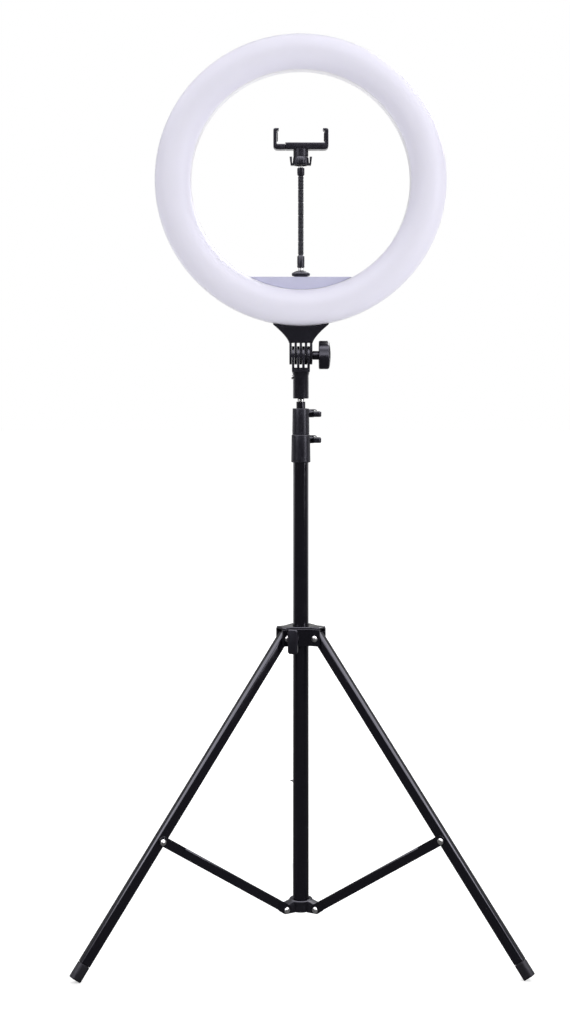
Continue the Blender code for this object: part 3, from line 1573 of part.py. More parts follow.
def ball_stud(frame):
    """The stud in the upper ferrule, with the ball that the clamp turns on."""
    low = -(BALL_ABOVE_FERRULE + STUD_LENGTH)
    collar_z = -BALL_ABOVE_FERRULE + FIT
    neck = math.sqrt(BALL_RADIUS**2 - STUD_RADIUS**2)
    ball = ball_arc(BALL_RADIUS, -neck, 8)
    profile = ball + [
        (STUD_RADIUS, collar_z + STUD_COLLAR),
        (STUD_RADIUS + 1.2 * MM, collar_z + STUD_COLLAR),
        (STUD_RADIUS + 1.2 * MM, collar_z),
        (STUD_RADIUS, collar_z),
        (STUD_RADIUS, low),
        (0, low),
    ]
    turn = pivot("ball_stud_pivot", (0, 0, UPPER_FERRULE + BALL_ABOVE_FERRULE), parent=frame)
    add("ball_stud", turned_mesh(profile, 14), parent=turn, look="steel")
    return turn


def ball_socket_profile():
    """The clamp's head: a round cavity for the ball, threaded outside at its mouth."""
    cavity = BALL_RADIUS + FIT
    mouth = -SOCKET_MOUTH
    nut_top = -BALL_ABOVE_FERRULE + NUT_ABOVE_FERRULE + BALL_NUT_HEIGHT
    hollow = [(r, z) for r, z in reversed(ball_arc(cavity, mouth, 6))]
    mouth_radius = hollow[0][0]
    return [
        (0, HEAD_RISE + MM),
        (HEAD_RADIUS, HEAD_RISE + MM),
        (HEAD_RADIUS, nut_top + FIT),
        (THREAD_RADIUS, nut_top + FIT),
        (THREAD_RADIUS, mouth - 2.2 * MM),
        (mouth_radius + 1.7 * MM, mouth - 2.2 * MM),
    ] + hollow


def clamp_body(frame):
    """The clamp's fixed half: ball socket, hollow bar and right jaw with its hook."""
    half, bottom = CLAMP_WIDTH / 2, HEAD_RISE
    left = -half + SLIDE_BLOCK + FIT
    bar_top = bottom + BAR_HEIGHT
    top = bottom + JAW_HEIGHT
    corner = CLAMP_CORNER
    outline = (
        [(left, bottom), (half - corner, bottom)]
        + arc(corner, -90, 0, 4, (half - corner, bottom + corner))[1:]
        + [
            (half, top - JAW_EDGE),
            (half - JAW_EDGE, top),
            (half - JAW_WALL - JAW_HOOK, top),
            (half - JAW_WALL - JAW_HOOK, top - 1.6 * MM),
            (half - JAW_WALL, top - JAW_HOOK_HEIGHT),
            (half - JAW_WALL, bar_top + JAW_EDGE),
            (half - JAW_WALL - JAW_EDGE, bar_top),
            (left, bar_top),
        ]
    )
    mesh = plate_mesh([outline], CLAMP_DEPTH)
    mesh.transform(Matrix.Rotation(math.pi / 2, 4, "X"))
    body = add("clamp_body", mesh, parent=frame, look="plastic_black")
    soften(body, 1.0 * MM, 1, 50)
    head = add("clamp_head", turned_mesh(ball_socket_profile(), 17), parent=frame)
    join(body, head)
    width, height = TONGUE_WIDTH + 2 * FIT, TONGUE_HEIGHT + 2 * FIT
    middle = bottom + TONGUE_MIDDLE
    rail = add(
        "clamp_rail",
        span_mesh(
            (left - 10 * MM, -width / 2, middle - height / 2),
            (left + TONGUE_LENGTH + MM, width / 2, middle + height / 2),
        ),
        parent=frame,
    )
    cut(body, rail)
    inner = half - JAW_WALL
    add(
        "jaw_pad_right",
        jaw_pad_mesh(bar_top, top),
        (inner - FIT - PAD_SHEET / 2, 0, 0),
        parent=frame,
        look="rubber_black",
    )


def jaw_pad_mesh(bar_top, top):
    low, high = bar_top + 2.4 * MM, top - JAW_HOOK_HEIGHT - 0.8 * MM
    mesh = plate_mesh([rounded(high - low, CLAMP_DEPTH - 2 * MM, 2 * MM)], PAD_SHEET)
    mesh.transform(
        Matrix.Translation((0, 0, (low + high) / 2)) @ Matrix.Rotation(math.pi / 2, 4, "Y")
    )
    return mesh


def clamp_jaw(frame):
    """The sliding half: left jaw with its hook, a block and the tongue that runs in the bar."""
    turn = pivot("clamp_jaw_slide", (0, 0, 0), parent=frame)
    half, bottom = CLAMP_WIDTH / 2, HEAD_RISE
    right = -half + SLIDE_BLOCK
    step_top = bottom + BAR_HEIGHT - BAR_STEP
    top = bottom + JAW_HEIGHT
    corner = CLAMP_CORNER
    outline = (
        [(right, bottom), (right, step_top), (-half + JAW_WALL + JAW_EDGE, step_top)]
        + [
            (-half + JAW_WALL, step_top + JAW_EDGE),
            (-half + JAW_WALL, top - JAW_HOOK_HEIGHT),
            (-half + JAW_WALL + JAW_HOOK, top - 1.6 * MM),
            (-half + JAW_WALL + JAW_HOOK, top),
            (-half + JAW_EDGE, top),
            (-half, top - JAW_EDGE),
        ]
        + arc(corner, 180, 270, 4, (-half + corner, bottom + corner))
    )
    mesh = plate_mesh([outline], CLAMP_DEPTH)
    mesh.transform(Matrix.Rotation(math.pi / 2, 4, "X"))
    jaw = add("clamp_jaw", mesh, parent=turn, look="plastic_black")
    soften(jaw, 1.0 * MM, 1, 50)
    middle = bottom + TONGUE_MIDDLE
    tongue = add(
        "jaw_tongue",
        span_mesh(
            (right - 4 * MM, -TONGUE_WIDTH / 2, middle - TONGUE_HEIGHT / 2),
            (right + TONGUE_LENGTH, TONGUE_WIDTH / 2, middle + TONGUE_HEIGHT / 2),
        ),
        parent=turn,
    )
    join(jaw, tongue)
    add(
        "jaw_pad_left",
        jaw_pad_mesh(bottom + BAR_HEIGHT, top),
        (-half + JAW_WALL + FIT + PAD_SHEET / 2, 0, 0),
        parent=turn,
        look="rubber_black",
    )


def ball_nut(frame):
    """The nut under the clamp's head, with a flared wing each side set off by a slot."""
    low = -BALL_ABOVE_FERRULE + NUT_ABOVE_FERRULE
    high = low + BALL_NUT_HEIGHT
    bore = THREAD_RADIUS + FIT
    body = bore + NUT_WALL
    turn = pivot("ball_nut_pivot", (0, 0, 0), parent=frame)
    profile = [(body, high), (body + 0.8 * MM, low + 2 * MM), (body, low), (bore, low), (bore, high)]
    nut = add(
        "ball_lock_nut", turned_mesh(profile, 18, closed=True), parent=turn, look="plastic_black"
    )
    for side in (-1, 1):
        start = body - 0.4 * MM
        points = [
            (side * start, low),
            (side * NUT_WING_BOTTOM, low),
            (side * NUT_WING_TOP, high),
            (side * (body + NUT_SLOT), high),
            (side * (body + NUT_SLOT), low + 3.4 * MM),
            (side * start, low + 2.4 * MM),
        ]
        mesh = plate_mesh([points], NUT_WING_WIDTH)
        mesh.transform(Matrix.Rotation(math.pi / 2, 4, "X"))
        join(nut, add(f"nut_wing_{'left' if side < 0 else 'right'}", mesh, parent=turn))
    opening = add(
        "nut_bore",
        rod_mesh(bore, (0, 0, low - MM), (0, 0, high + MM), 18),
        parent=turn,
    )
    cut(nut, opening)


# ---------------------------------------------------------------- whole


def risers_and_collars(root):
    """Each tube inside the one below, with a collar on the end of the tube it slides in."""
    sections = (
        ("lower", BASE_RADIUS, LOWER_RISER_RADIUS, LOWER_COLLAR_Z, LOWER_COLLAR_HEIGHT),
        ("upper", LOWER_RISER_RADIUS, UPPER_RISER_RADIUS, UPPER_COLLAR_Z, UPPER_COLLAR_HEIGHT),
    )
    radii = {"lower": LOWER_COLLAR_RADIUS, "upper": UPPER_COLLAR_RADIUS}
    walls = {"lower": BASE_WALL, "upper": RISER_WALL}
    feet = {"lower": LOWER_RISER_FOOT_Z, "upper": UPPER_RISER_FOOT_Z}
    tops = {"lower": LOWER_RISER_TOP_Z, "upper": UPPER_RISER_TOP_Z}
    for level, tube, inner, foot, height in sections:
        room = tube - walls[level]
        capped = level == "upper"
        riser(f"{level}_riser", inner, room, feet[level], tops[level], capped, root)
        lugs = collar(f"{level}_collar", foot, height, radii[level], tube, inner, root)
        clamp_bolt(f"{level}_clamp_bolt", *lugs)
        clamp_lever(f"{level}_clamp_lever", *lugs)


def stand(root):
    legs_and_braces(root)
    hub_frame = pivot("hub_slide", (0, 0, LEG_PIVOT_Z), parent=root)
    leg_hub(hub_frame)
    hub_lever(hub_frame)
    brace_hub(root)
    base_tube(root)
    risers_and_collars(root)
    spigot(root)


def light(root):
    swivel = pivot("head_swivel", (0, 0, HINGE_Z), parent=root)
    spigot_socket(swivel)
    tilt_knob(swivel)
    tilt = pivot("head_tilt", (0, 0, 0), parent=swivel)
    ring_bracket(tilt)
    axis = ring_frame(tilt)
    ring_shell(axis)
    ring_shelf(axis)
    ring_diffuser(axis)
    ring_electronics(axis)
    shelf_parts(axis)
    control_knob("brightness_knob", -CONTROL_SPREAD, axis)
    control_knob("colour_knob", CONTROL_SPREAD, axis)
    shelf = pivot("shelf_top", (0, 0, SHELF_Z - HINGE_Z), parent=tilt)
    cold_shoe(shelf)
    slide = pivot("shoe_slide", (0, 0, 0), parent=shelf)
    shoe_foot(slide)
    lock_disc(slide)
    top = gooseneck(slide)
    stud = ball_stud(top)
    clamp = pivot("clamp_tilt", (0, 0, 0), parent=stud)
    clamp_body(clamp)
    clamp_jaw(clamp)
    ball_nut(clamp)


def main():
    clear_scene()
    root = pivot("column_foot", (0, COLUMN_Y, 0))
    stand(root)
    light(root)


main()
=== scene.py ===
"""Ring light on a folding stand: the finished surfaces, set on the packed model, and its studio.

Metres, +Z up, the light faces -Y. Every new piece is worked out on whole arrays with numpy: a
profile turned about an axis, or an outline carried through a rounded edge. Run as a script.
"""

import math

import bmesh
import bpy
import numpy as np
from bpy.props import FloatProperty, FloatVectorProperty, IntProperty, PointerProperty
from mathutils import Matrix, Vector
from mathutils.geometry import tessellate_polygon


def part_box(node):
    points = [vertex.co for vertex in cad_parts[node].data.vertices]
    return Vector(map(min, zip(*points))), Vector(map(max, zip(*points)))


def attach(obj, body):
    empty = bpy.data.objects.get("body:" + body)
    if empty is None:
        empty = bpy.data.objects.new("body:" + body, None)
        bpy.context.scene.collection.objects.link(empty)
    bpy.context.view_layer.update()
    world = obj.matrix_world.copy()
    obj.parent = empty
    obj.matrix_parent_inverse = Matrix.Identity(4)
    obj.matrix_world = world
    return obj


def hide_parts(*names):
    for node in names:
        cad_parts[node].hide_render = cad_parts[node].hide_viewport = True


bl_info = {
    "name": "Ring Light",
    "version": (1, 0, 0),
    "blender": (4, 5, 0),
    "location": "3D View > Sidebar > Ring Light",
    "description": "Finishes a ring light on a folding stand and sets up its studio",
    "category": "Object",
}

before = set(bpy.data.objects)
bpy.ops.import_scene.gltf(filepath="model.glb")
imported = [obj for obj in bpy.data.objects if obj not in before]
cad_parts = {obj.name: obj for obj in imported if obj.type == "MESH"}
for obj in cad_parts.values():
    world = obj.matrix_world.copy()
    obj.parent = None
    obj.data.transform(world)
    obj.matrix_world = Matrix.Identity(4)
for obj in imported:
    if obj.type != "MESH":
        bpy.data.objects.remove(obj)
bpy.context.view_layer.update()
MM = 0.001
TAU = 2 * math.pi
SIDES = {"left": -150.0, "right": -30.0, "rear": 90.0}  # degrees round the column
HUB_LEVER = -109.0  # degrees round the column
NECK_LINKS = 6


def corners(node):
    low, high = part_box(node)
    return np.array(low, float), np.array(high, float)


def middle(node):
    low, high = corners(node)
    return (low + high) / 2


COLUMN = middle("base_tube")
LEG_PIVOT_Z = float(middle("leg_pin_rear")[2])
BRACE_PIVOT_Z = float(middle("brace_pin_rear")[2])
HINGE_Z = float(middle("tilt_bolt")[2])
SHELL_LOW, SHELL_HIGH = corners("ring_back_shell")
RING_Y = float(SHELL_LOW[1]) + 5 * MM
RING_Z = float((SHELL_LOW[2] + SHELL_HIGH[2]) / 2)


# ---------------------------------------------------------------- sizes and colours


def length(label, value, words):
    """A size in millimetres as a scene length."""
    return FloatProperty(
        name=label, description=words, default=value * MM, min=0, unit="LENGTH", precision=5
    )


def number(label, value, words, unit="NONE"):
    return FloatProperty(name=label, description=words, default=value, unit=unit)


def colour(label, value, words):
    return FloatVectorProperty(
        name=label, description=words, default=value, size=3, min=0, max=1, subtype="COLOR"
    )


class StandSizes(bpy.types.PropertyGroup):
    """The folding stand's sizes."""

    pivot_radius: length("Pivot radius", 25, "Leg and brace pivots, from the column's axis")
    leg_length: length("Leg length", 473, "From the leg's pivot to the end of its foot")
    leg_top: length("Leg top", 5.4, "Leg above its pivot")
    leg_angle: FloatProperty(
        name="Leg angle", description="From vertical", default=math.radians(36.74), subtype="ANGLE"
    )
    leg_depth: length("Leg depth", 14, "In the plane of its swing")
    leg_width: length("Leg width", 12, "Along its pivot")
    leg_corner: length("Leg corner", 3.4, "Radius of the tube's corners")
    leg_offset: length("Leg offset", 1.5, "Tube's middle, outwards of its pins")
    leg_wall: length("Leg wall", 1.2, "Thickness of the tube")
    foot_length: length("Foot length", 20, "Length of the foot's cap")
    brace_pin: length("Brace pin", 288.7, "Down the leg from its pivot")
    brace_length: length("Brace length", 205.2, "Between a brace's pins")
    brace_sheet: length("Brace sheet", 1.2, "Thickness of the channel")
    brace_lip: length("Brace lip", 4.6, "Open edge of the channel below the pins")
    brace_end: length("Brace end", 6, "Channel past its pins")
    flange: length("Flange", 6.6, "Inside face of the flanges from the middle")
    web: length("Web", 5.9, "Underside of the channel's web above the pins")
    web_start: length("Web start", 14, "From the hub's pin to the web")
    web_setback: length("Web setback", 31, "From the leg's pin to the web")
    pin_head: length("Pin head", 3.9, "Radius of the pivot bolts' heads")
    pin_rise: length("Pin head height", 2.0, "Height of the pivot bolts' heads")


class ColumnSizes(bpy.types.PropertyGroup):
    """Hubs, tubes and collars."""

    base_radius: length("Base tube", 10, "Radius of the base tube")
    lower_radius: length("Lower riser", 7.9, "Radius of the lower riser")
    upper_radius: length("Upper riser", 5.7, "Radius of the upper riser")
    base_wall: length("Base wall", 0.9, "Wall of the base tube")
    riser_wall: length("Riser wall", 0.8, "Wall of a riser")
    bush_length: length("Bush length", 20, "Guide at a riser's lower end")
    lower_collar: length("Lower collar", 12.4, "Radius of the lower collar")
    upper_collar: length("Upper collar", 11, "Radius of the upper collar")
    collar_step: length("Collar step", 22.3, "Depth of the tube in its collar")
    hub_below: length("Hub below", 9.5, "Under the leg pivots")
    hub_above: length("Hub above", 14.6, "Over the leg pivots")
    hub_roof: length("Hub roof", 3, "Thickness of the hub's top plate")
    ear_inner: length("Ear inner", 6.4, "Half the slot for a leg")
    ear_wall: length("Ear wall", 3, "Thickness of an ear")
    ear_reach: length("Ear reach", 31.6, "Ears from the axis")
    ear_corner: length("Ear corner", 2.6, "Radius at the ears' ends")
    hub_panel: length("Hub panel", 18.5, "Flat sides from the axis")
    hub_sleeve: length("Hub sleeve", 14.2, "Radius of the slots' inner ends")
    cup_radius: length("Cup radius", 13.4, "Radius of the lower hub")
    cup_rim: length("Cup rim", 14.8, "Radius of the lower hub's rim")
    cup_below: length("Cup below", 5.5, "Under the brace pivots")
    cup_above: length("Cup above", 9.5, "Over the brace pivots")
    tongue: length("Tongue", 5.5, "Radius of a tongue's end")
    lug_length: length("Lug length", 5, "A collar's lug along its bolt")
    lug_slit: length("Lug slit", 1.4, "Gap between a collar's lugs")
    lug_height: length("Lug height", 11, "Height of a collar's lugs")
    lug_reach: length("Lug reach", 9.5, "Lugs beyond the collar")
    lug_drop: length("Lug drop", 6.6, "Bolt below the collar's top")


class HeadSizes(bpy.types.PropertyGroup):
    """Tilt head and bracket."""

    finger_stack: length("Finger stack", 29.2, "Over all the fingers")
    finger_radius: length("Finger radius", 11.7, "Round end of a finger")
    finger_root: length("Finger root", 15.6, "Bottom of the slots, from the hinge")
    socket_radius: length("Socket radius", 10, "Radius of the socket")
    socket_length: length("Socket length", 30, "Length of the socket")
    socket_drop: length("Socket drop", 24.9, "Top of the socket below the hinge")
    funnel_width: length("Funnel width", 70.5, "Bracket where it meets the ring")
    funnel_depth: length("Funnel depth", 22, "Bracket from front to back")
    flare: number("Flare", 1.4, "1 is straight sides, more is hollower")
    knob_radius: length("Knob radius", 18.6, "Radius of the tilt knob")
    knob_length: length("Knob length", 15, "Length of the tilt knob")
    knob_lobes: IntProperty(name="Knob lobes", description="Grips round the knob", default=7)


class LampSizes(bpy.types.PropertyGroup):
    """Ring, shelf and controls."""

    radius: length("Radius", 185.2, "Outer radius of the ring")
    band: length("Band", 45.8, "Width of the ring's band")
    wall: length("Wall", 2.2, "Housing wall")
    back: length("Back", 18, "Housing behind the joint plane")
    lip: length("Lip", 5, "Housing before the joint plane")
    dome: length("Dome", 22, "Rise of the diffuser")
    shelf_drop: length("Shelf drop", 123.1, "Shelf below the ring's centre")
    shelf_front: length("Shelf front", 4, "Shelf before the joint plane")
    shelf_back: length("Shelf back", 14, "Shelf behind the joint plane")
    knob_radius: length("Control knob", 7.5, "Radius of a control knob")
    knob_length: length("Control knob length", 11, "Length of a control knob")


class ClampSizes(bpy.types.PropertyGroup):
    """Gooseneck and phone clamp."""

    hose_radius: length("Neck radius", 3.75, "Over the ribs of the neck")
    rib_depth: length("Rib depth", 0.5, "Depth between the ribs")
    ribs: IntProperty(name="Ribs", description="Ribs on each link", default=9)
    pitch: length("Link pitch", 16.6, "Length of a link")
    seat_radius: length("Seat radius", 3.05, "Ball on top of a link")
    hollow_radius: length("Hollow radius", 3.2, "Hollow under a link")
    link_gap: length("Link gap", 0.45, "Half the gap between two links")
    ferrule_radius: length("Ferrule radius", 4.65, "Radius of the ferrules")
    ferrule_length: length("Ferrule length", 16.6, "Length of the lower ferrule")
    disc_radius: length("Disc radius", 11.6, "Radius of the lock disc")
    ball: length("Ball", 6, "Radius of the ball")
    width: length("Clamp width", 70, "Over both jaws")
    depth: length("Clamp depth", 16, "From front to back")
    bar_rise: length("Bar rise", 10.6, "Bar's underside over the ball's middle")
    bar: length("Bar height", 8.8, "Height of the clamp's bar")
    tongue: length("Tongue", 44, "Sliding jaw's tongue in the bar")
    step: length("Bar step", 1.9, "Sliding block below the bar's top")
    jaw: length("Jaw height", 27, "Over bar and jaw")
    jaw_wall: length("Jaw wall", 4.3, "Thickness of a jaw")
    hook: length("Jaw hook", 2.7, "Reach of a jaw's lip")


class Finishes(bpy.types.PropertyGroup):
    """Colours of the finishes."""

    enamel: colour("Enamel", (0.0045, 0.0042, 0.0065), "Tubes, legs and braces")
    plastic: colour("Plastic", (0.0062, 0.0058, 0.0092), "Black moulded plastic")
    rubber: colour("Rubber", (0.007, 0.0066, 0.0085), "Feet and jaw pads")
    neck: colour("Neck", (0.008, 0.008, 0.0105), "Ribbed neck")
    steel: colour("Steel", (0.78, 0.77, 0.78), "Bolts and spigot")
    housing: colour("Housing", (0.86, 0.85, 0.89), "White moulded housing")
    # Shelf colour: its lavender tone with painted shade, darkened well below the housing's white
    # for the shade that the set-back shelf sits in.
    shelf: colour("Shelf", (0.58, 0.58, 0.74), "Shelf and its cover")
    diffuser: colour("Diffuser", (0.80, 0.785, 0.90), "Milky diffuser")
    lamp_board: colour("Lamp board", (0.75, 0.76, 0.74), "Board behind the diffuser")
    board: colour("Board", (0.045, 0.20, 0.075), "Circuit board")
    backdrop: colour("Backdrop", (1.0, 1.0, 1.0), "Floor and background")


# ---------------------------------------------------------------- surfaces


def arc(radius, start, end, count, centre=(0, 0)):
    """Arc: centre + radius (cos a, sin a), for a from start to end in degrees."""
    a = np.radians(np.linspace(start, end, count))
    return np.column_stack([centre[0] + radius * np.cos(a), centre[1] + radius * np.sin(a)])


def ring(radius, count=64, centre=(0, 0)):
    return arc(radius, 0, 360, count + 1, centre)[:-1]


def line(*parts):
    """Points and stretches of points, one after the other."""
    return np.vstack(parts)


def rounded(width, height, corner, count=8):
    """Rectangle with its four corners replaced by quarter arcs."""
    x, y = width / 2 - corner, height / 2 - corner
    places = ((x, y, 0), (-x, y, 90), (-x, -y, 180), (x, -y, 270))
    return line(*[arc(corner, a, a + 90, count, (cx, cy)) for cx, cy, a in places])


def skin(grid, loop=False):
    """Surface through a grid of closed rings: the rows join end to end or end in caps."""
    rows, cols = grid.shape[:2]
    index = np.arange(rows * cols).reshape(rows, cols)
    beside = np.roll(index, -1, axis=1)
    if loop:
        low, low_b, up, up_b = index, beside, np.roll(index, -1, 0), np.roll(beside, -1, 0)
    else:
        low, low_b, up, up_b = index[:-1], beside[:-1], index[1:], beside[1:]
    faces = np.stack([low, low_b, up_b, up], -1).reshape(-1, 4).tolist()
    if not loop:
        faces += [index[0][::-1].tolist(), index[-1].tolist()]
    return grid.reshape(-1, 3), faces


def lathe(profile, steps=64, loop=False, swell=None):
    """Turned about Z: (r cos a, r sin a, z), where r may be changed by swell(r, z, a)."""
    profile = np.asarray(profile, float)
    a = np.arange(steps) * TAU / steps
    r = np.repeat(profile[:, :1], steps, 1)
    z = np.repeat(profile[:, 1:], steps, 1)
    angle = np.repeat(a[None], len(profile), 0)
    if swell:
        r = swell(r, z, angle)
    return skin(np.stack([r * np.cos(angle), r * np.sin(angle), z], -1), loop)


def ribbed(count, depth, limit):
    """Ribs for a lathe: r - d (1 - cos n a) / 2 wherever r is over the limit."""
    return lambda r, z, a: r - depth * (0.5 - 0.5 * np.cos(count * a)) * (r > limit)


def part_lathe(profile, start, end, steps=64):
    """A closed section turned about Z through part of a circle, its two ends capped."""
    profile = np.asarray(profile, float)
    a = np.linspace(start, end, steps)[:, None]
    r, z = profile[:, 0][None], profile[:, 1][None]
    return skin(np.stack([r * np.cos(a), r * np.sin(a), z + 0 * a], -1))


def inset(outline, amount):
    """Outline moved inwards: each point along the mean of its two edges' normals, mitred."""
    edge = np.roll(outline, -1, 0) - outline
    size = np.maximum(np.linalg.norm(edge, axis=1, keepdims=True), 1e-12)
    normal = np.column_stack([edge[:, 1], -edge[:, 0]]) / size
    before = np.roll(normal, 1, 0)
    dot = np.maximum((normal * before).sum(1, keepdims=True), -0.6)
    return outline - amount * (normal + before) / (1 + dot)


def area(outline):
    x, y = outline[:, 0], outline[:, 1]
    return 0.5 * (x * np.roll(y, -1) - y * np.roll(x, -1)).sum()


def prism(outlines, low, high, edge=0.0, steps=3):
    """Outlines in XY from z low to high, the first one the outside.

    Each rim is a quarter round: inset e (1 - sin f), rise e (1 - cos f).
    """
    outlines = [np.asarray(o, float) for o in outlines]
    outlines = [o if (area(o) > 0) == (k == 0) else o[::-1] for k, o in enumerate(outlines)]
    f = np.linspace(0, math.pi / 2, steps + 1) if edge else np.array([math.pi / 2])
    cut = edge * (1 - np.sin(f))
    rise = edge * (1 - np.cos(f)) if edge else np.array([0.0])
    cuts = np.concatenate([cut, cut[::-1]])
    heights = np.concatenate([low + rise, high - rise[::-1]])
    points, faces, first, last, base = [], [], [], [], 0
    for outline in outlines:
        count = len(outline)
        rows = [np.column_stack([inset(outline, c), [z] * count]) for c, z in zip(cuts, heights)]
        places, sides = skin(np.stack(rows))
        faces += [[base + i for i in face] for face in sides[:-2]]
        first.append(np.arange(count) + base)
        last.append(np.arange(count) + base + (len(rows) - 1) * count)
        points.append(places)
        base += len(places)
    rim = [[Vector((x, y, 0)) for x, y in inset(o, cuts[0])] for o in outlines]
    first, last = np.concatenate(first), np.concatenate(last)
    for a, b, c in tessellate_polygon(rim):
        faces += [[int(i) for i in first[[a, c, b]]], [int(i) for i in last[[a, b, c]]]]
    return np.vstack(points), faces


def moved(solid, matrix):
    """Each point p becomes R p + t."""
    m = np.array(matrix, float)
    return solid[0] @ m[:3, :3].T + m[:3, 3], solid[1]


def rod(radius, start, end, edge=0.0, steps=40):
    """Round bar from start to end with rounded rims."""
    start, end = Vector(start), Vector(end)
    size = (end - start).length
    turn = (end - start).to_track_quat("Z", "Y").to_matrix().to_4x4()
    return moved(prism([ring(radius, steps)], 0, size, edge), Matrix.Translation(start) @ turn)


def shaft(radius, start, end, edge=0.0, steps=40):
    """Round bar along X."""
    return rod(radius, (start, 0, 0), (end, 0, 0), edge, steps)


def dome(radius, height, rim=0.35, steps=40):
    """Round head on z = 0: a short upright rim, then a quarter ellipse up to its crown."""
    a = np.linspace(0, math.pi / 2, 9)
    up = rim * height
    profile = [(0, 0), (radius, 0), (radius, up)]
    profile += list(zip(radius * np.cos(a[1:]), up + (height - up) * np.sin(a[1:])))
    return lathe(profile, steps)


def slab(low, high, edge=0.0, corner=0.0):
    """Box between two corners, with rounded upright edges and rims."""
    low, high = np.array(low, float), np.array(high, float)
    size, centre = high - low, (high + low) / 2
    corner = max(corner, 1e-5)
    outline = rounded(size[0], size[1], corner, 5) + centre[:2]
    return prism([outline], low[2], high[2], edge)


X_UP = Matrix.Rotation(math.pi / 2, 4, "Z") @ Matrix.Rotation(math.pi / 2, 4, "X")  # XY to YZ
Y_UP = Matrix.Rotation(math.pi / 2, 4, "X")  # XY to XZ, +Z to -Y
Z_TO_X = Matrix.Rotation(math.pi / 2, 4, "Y")  # +Z to +X, +X to -Z


def place(x=0.0, y=0.0, z=0.0):
    return Matrix.Translation((x, y, z))


def spin(degrees):
    return Matrix.Rotation(math.radians(degrees), 4, "Z")


def column(z=0.0):
    """The column's axis at a height."""
    return place(float(COLUMN[0]), float(COLUMN[1]), z)


def arm(side, z):
    """An arm's pivot: +X outwards, +Y along the pivot."""
    return column(z) @ spin(SIDES[side]) @ place(x=sizes("stand").pivot_radius)


def sizes(group):
    return getattr(bpy.context.scene, f"ring_light_{group}")


def piece(name, solids, finish, body, replaced=None, at=None, angle=38):
    """One object from closed surfaces set at a frame, smooth up to the angle."""
    points, faces, base = [], [], 0
    for places, sides in solids:
        points.append(places)
        faces += [[base + i for i in side] for side in sides]
        base += len(places)
    points = np.vstack(points)
    if at is not None:
        points, faces = moved((points, faces), at)
    mesh = bpy.data.meshes.new(name)
    mesh.from_pydata(points.tolist(), [], faces)
    work = bmesh.new()
    work.from_mesh(mesh)
    bmesh.ops.remove_doubles(work, verts=work.verts, dist=1e-7)
    bmesh.ops.recalc_face_normals(work, faces=work.faces)
    work.to_mesh(mesh)
    work.free()
    mesh.shade_smooth()
    mesh.set_sharp_from_angle(angle=math.radians(angle))
    mesh.materials.append(finish)
    obj = bpy.data.objects.new(name, mesh)
    bpy.context.scene.collection.objects.link(obj)
    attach(obj, body)
    if replaced:
        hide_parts(replaced)
    return obj


# ---------------------------------------------------------------- finishes


def nodes_of(name):
    made = bpy.data.materials.new(name)
    made.use_nodes = True
    tree = made.node_tree
    return made, tree, tree.nodes["Principled BSDF"]


def add_node(tree, kind):
    return tree.nodes.new(f"ShaderNode{kind}")


def noise(tree, scale, detail):
    """Noise on the object's own coordinates, scale in features per metre."""
    where, grain = add_node(tree, "TexCoord"), add_node(tree, "TexNoise")
    grain.inputs["Scale"].default_value = scale
    grain.inputs["Detail"].default_value = detail
    tree.links.new(where.outputs["Object"], grain.inputs["Vector"])
    return grain.outputs["Fac"]


def ranged(tree, value, low, high, start=0.3, end=0.7):
    """The value carried from start..end to low..high."""
    scaled = add_node(tree, "MapRange")
    for key, number in (("From Min", start), ("From Max", end), ("To Min", low), ("To Max", high)):
        scaled.inputs[key].default_value = number
    tree.links.new(value, scaled.inputs["Value"])
    return scaled.outputs["Result"]


def blended(tree, factor, first, second):
    mix = add_node(tree, "Mix")
    mix.data_type = "RGBA"
    mix.inputs["A"].default_value = (*first, 1)
    mix.inputs["B"].default_value = (*second, 1)
    tree.links.new(factor, mix.inputs["Factor"])
    return mix.outputs["Result"]


def bumped(tree, shader, height, strength, distance):
    bump = add_node(tree, "Bump")
    bump.inputs["Strength"].default_value = strength
    bump.inputs["Distance"].default_value = distance
    tree.links.new(height, bump.inputs["Height"])
    tree.links.new(bump.outputs["Normal"], shader.inputs["Normal"])


def finish(
    name, base, rough, metallic=0.0, mottle=60, tint=0.12, spread=0.06, grain=2500, relief=0.05,
    specular=0.5,
):  # fmt: skip
    """A moulded, painted or plated surface: mottled colour and gloss over a fine relief."""
    found = bpy.data.materials.get(name)
    if found:
        return found
    made, tree, shader = nodes_of(name)
    base = np.array(base[:3], float)
    dark, light = base * (1 - tint), np.minimum(base * (1 + tint), 1)
    mottled = blended(tree, ranged(tree, noise(tree, mottle, 5.0), 0, 1), dark, light)
    tree.links.new(mottled, shader.inputs["Base Color"])
    gloss = ranged(tree, noise(tree, mottle * 2.3, 3.0), rough - spread, rough + spread)
    tree.links.new(gloss, shader.inputs["Roughness"])
    bumped(tree, shader, noise(tree, grain, 2.0), relief, 0.0002)
    shader.inputs["Metallic"].default_value = metallic
    shader.inputs["Specular IOR Level"].default_value = specular
    if metallic == 0:
        shader.inputs["Specular Tint"].default_value = (0.87, 0.85, 1.0, 1.0)
    return made


def enamel():
    c = sizes("finishes").enamel
    return finish("Gloss black enamel", c, 0.14, mottle=35, grain=900, relief=0.015)


def plastic():
    c = sizes("finishes").plastic
    return finish("Satin black plastic", c, 0.34, mottle=90, grain=3800, relief=0.1)


def rubber():
    c = sizes("finishes").rubber
    look = {"mottle": 150, "tint": 0.2, "grain": 3000, "relief": 0.2, "specular": 0.28}
    return finish("Black rubber", c, 0.55, **look)


def neck_black():
    c = sizes("finishes").neck
    return finish("Black ribbed steel", c, 0.34, mottle=180, grain=1600, specular=0.35)


def steel():
    c = sizes("finishes").steel
    return finish("Plated steel", c, 0.3, metallic=1.0, mottle=240, tint=0.06, grain=1800)


def housing():
    c = sizes("finishes").housing
    return finish("White housing", c, 0.38, mottle=40, tint=0.012, grain=4200, spread=0.04)
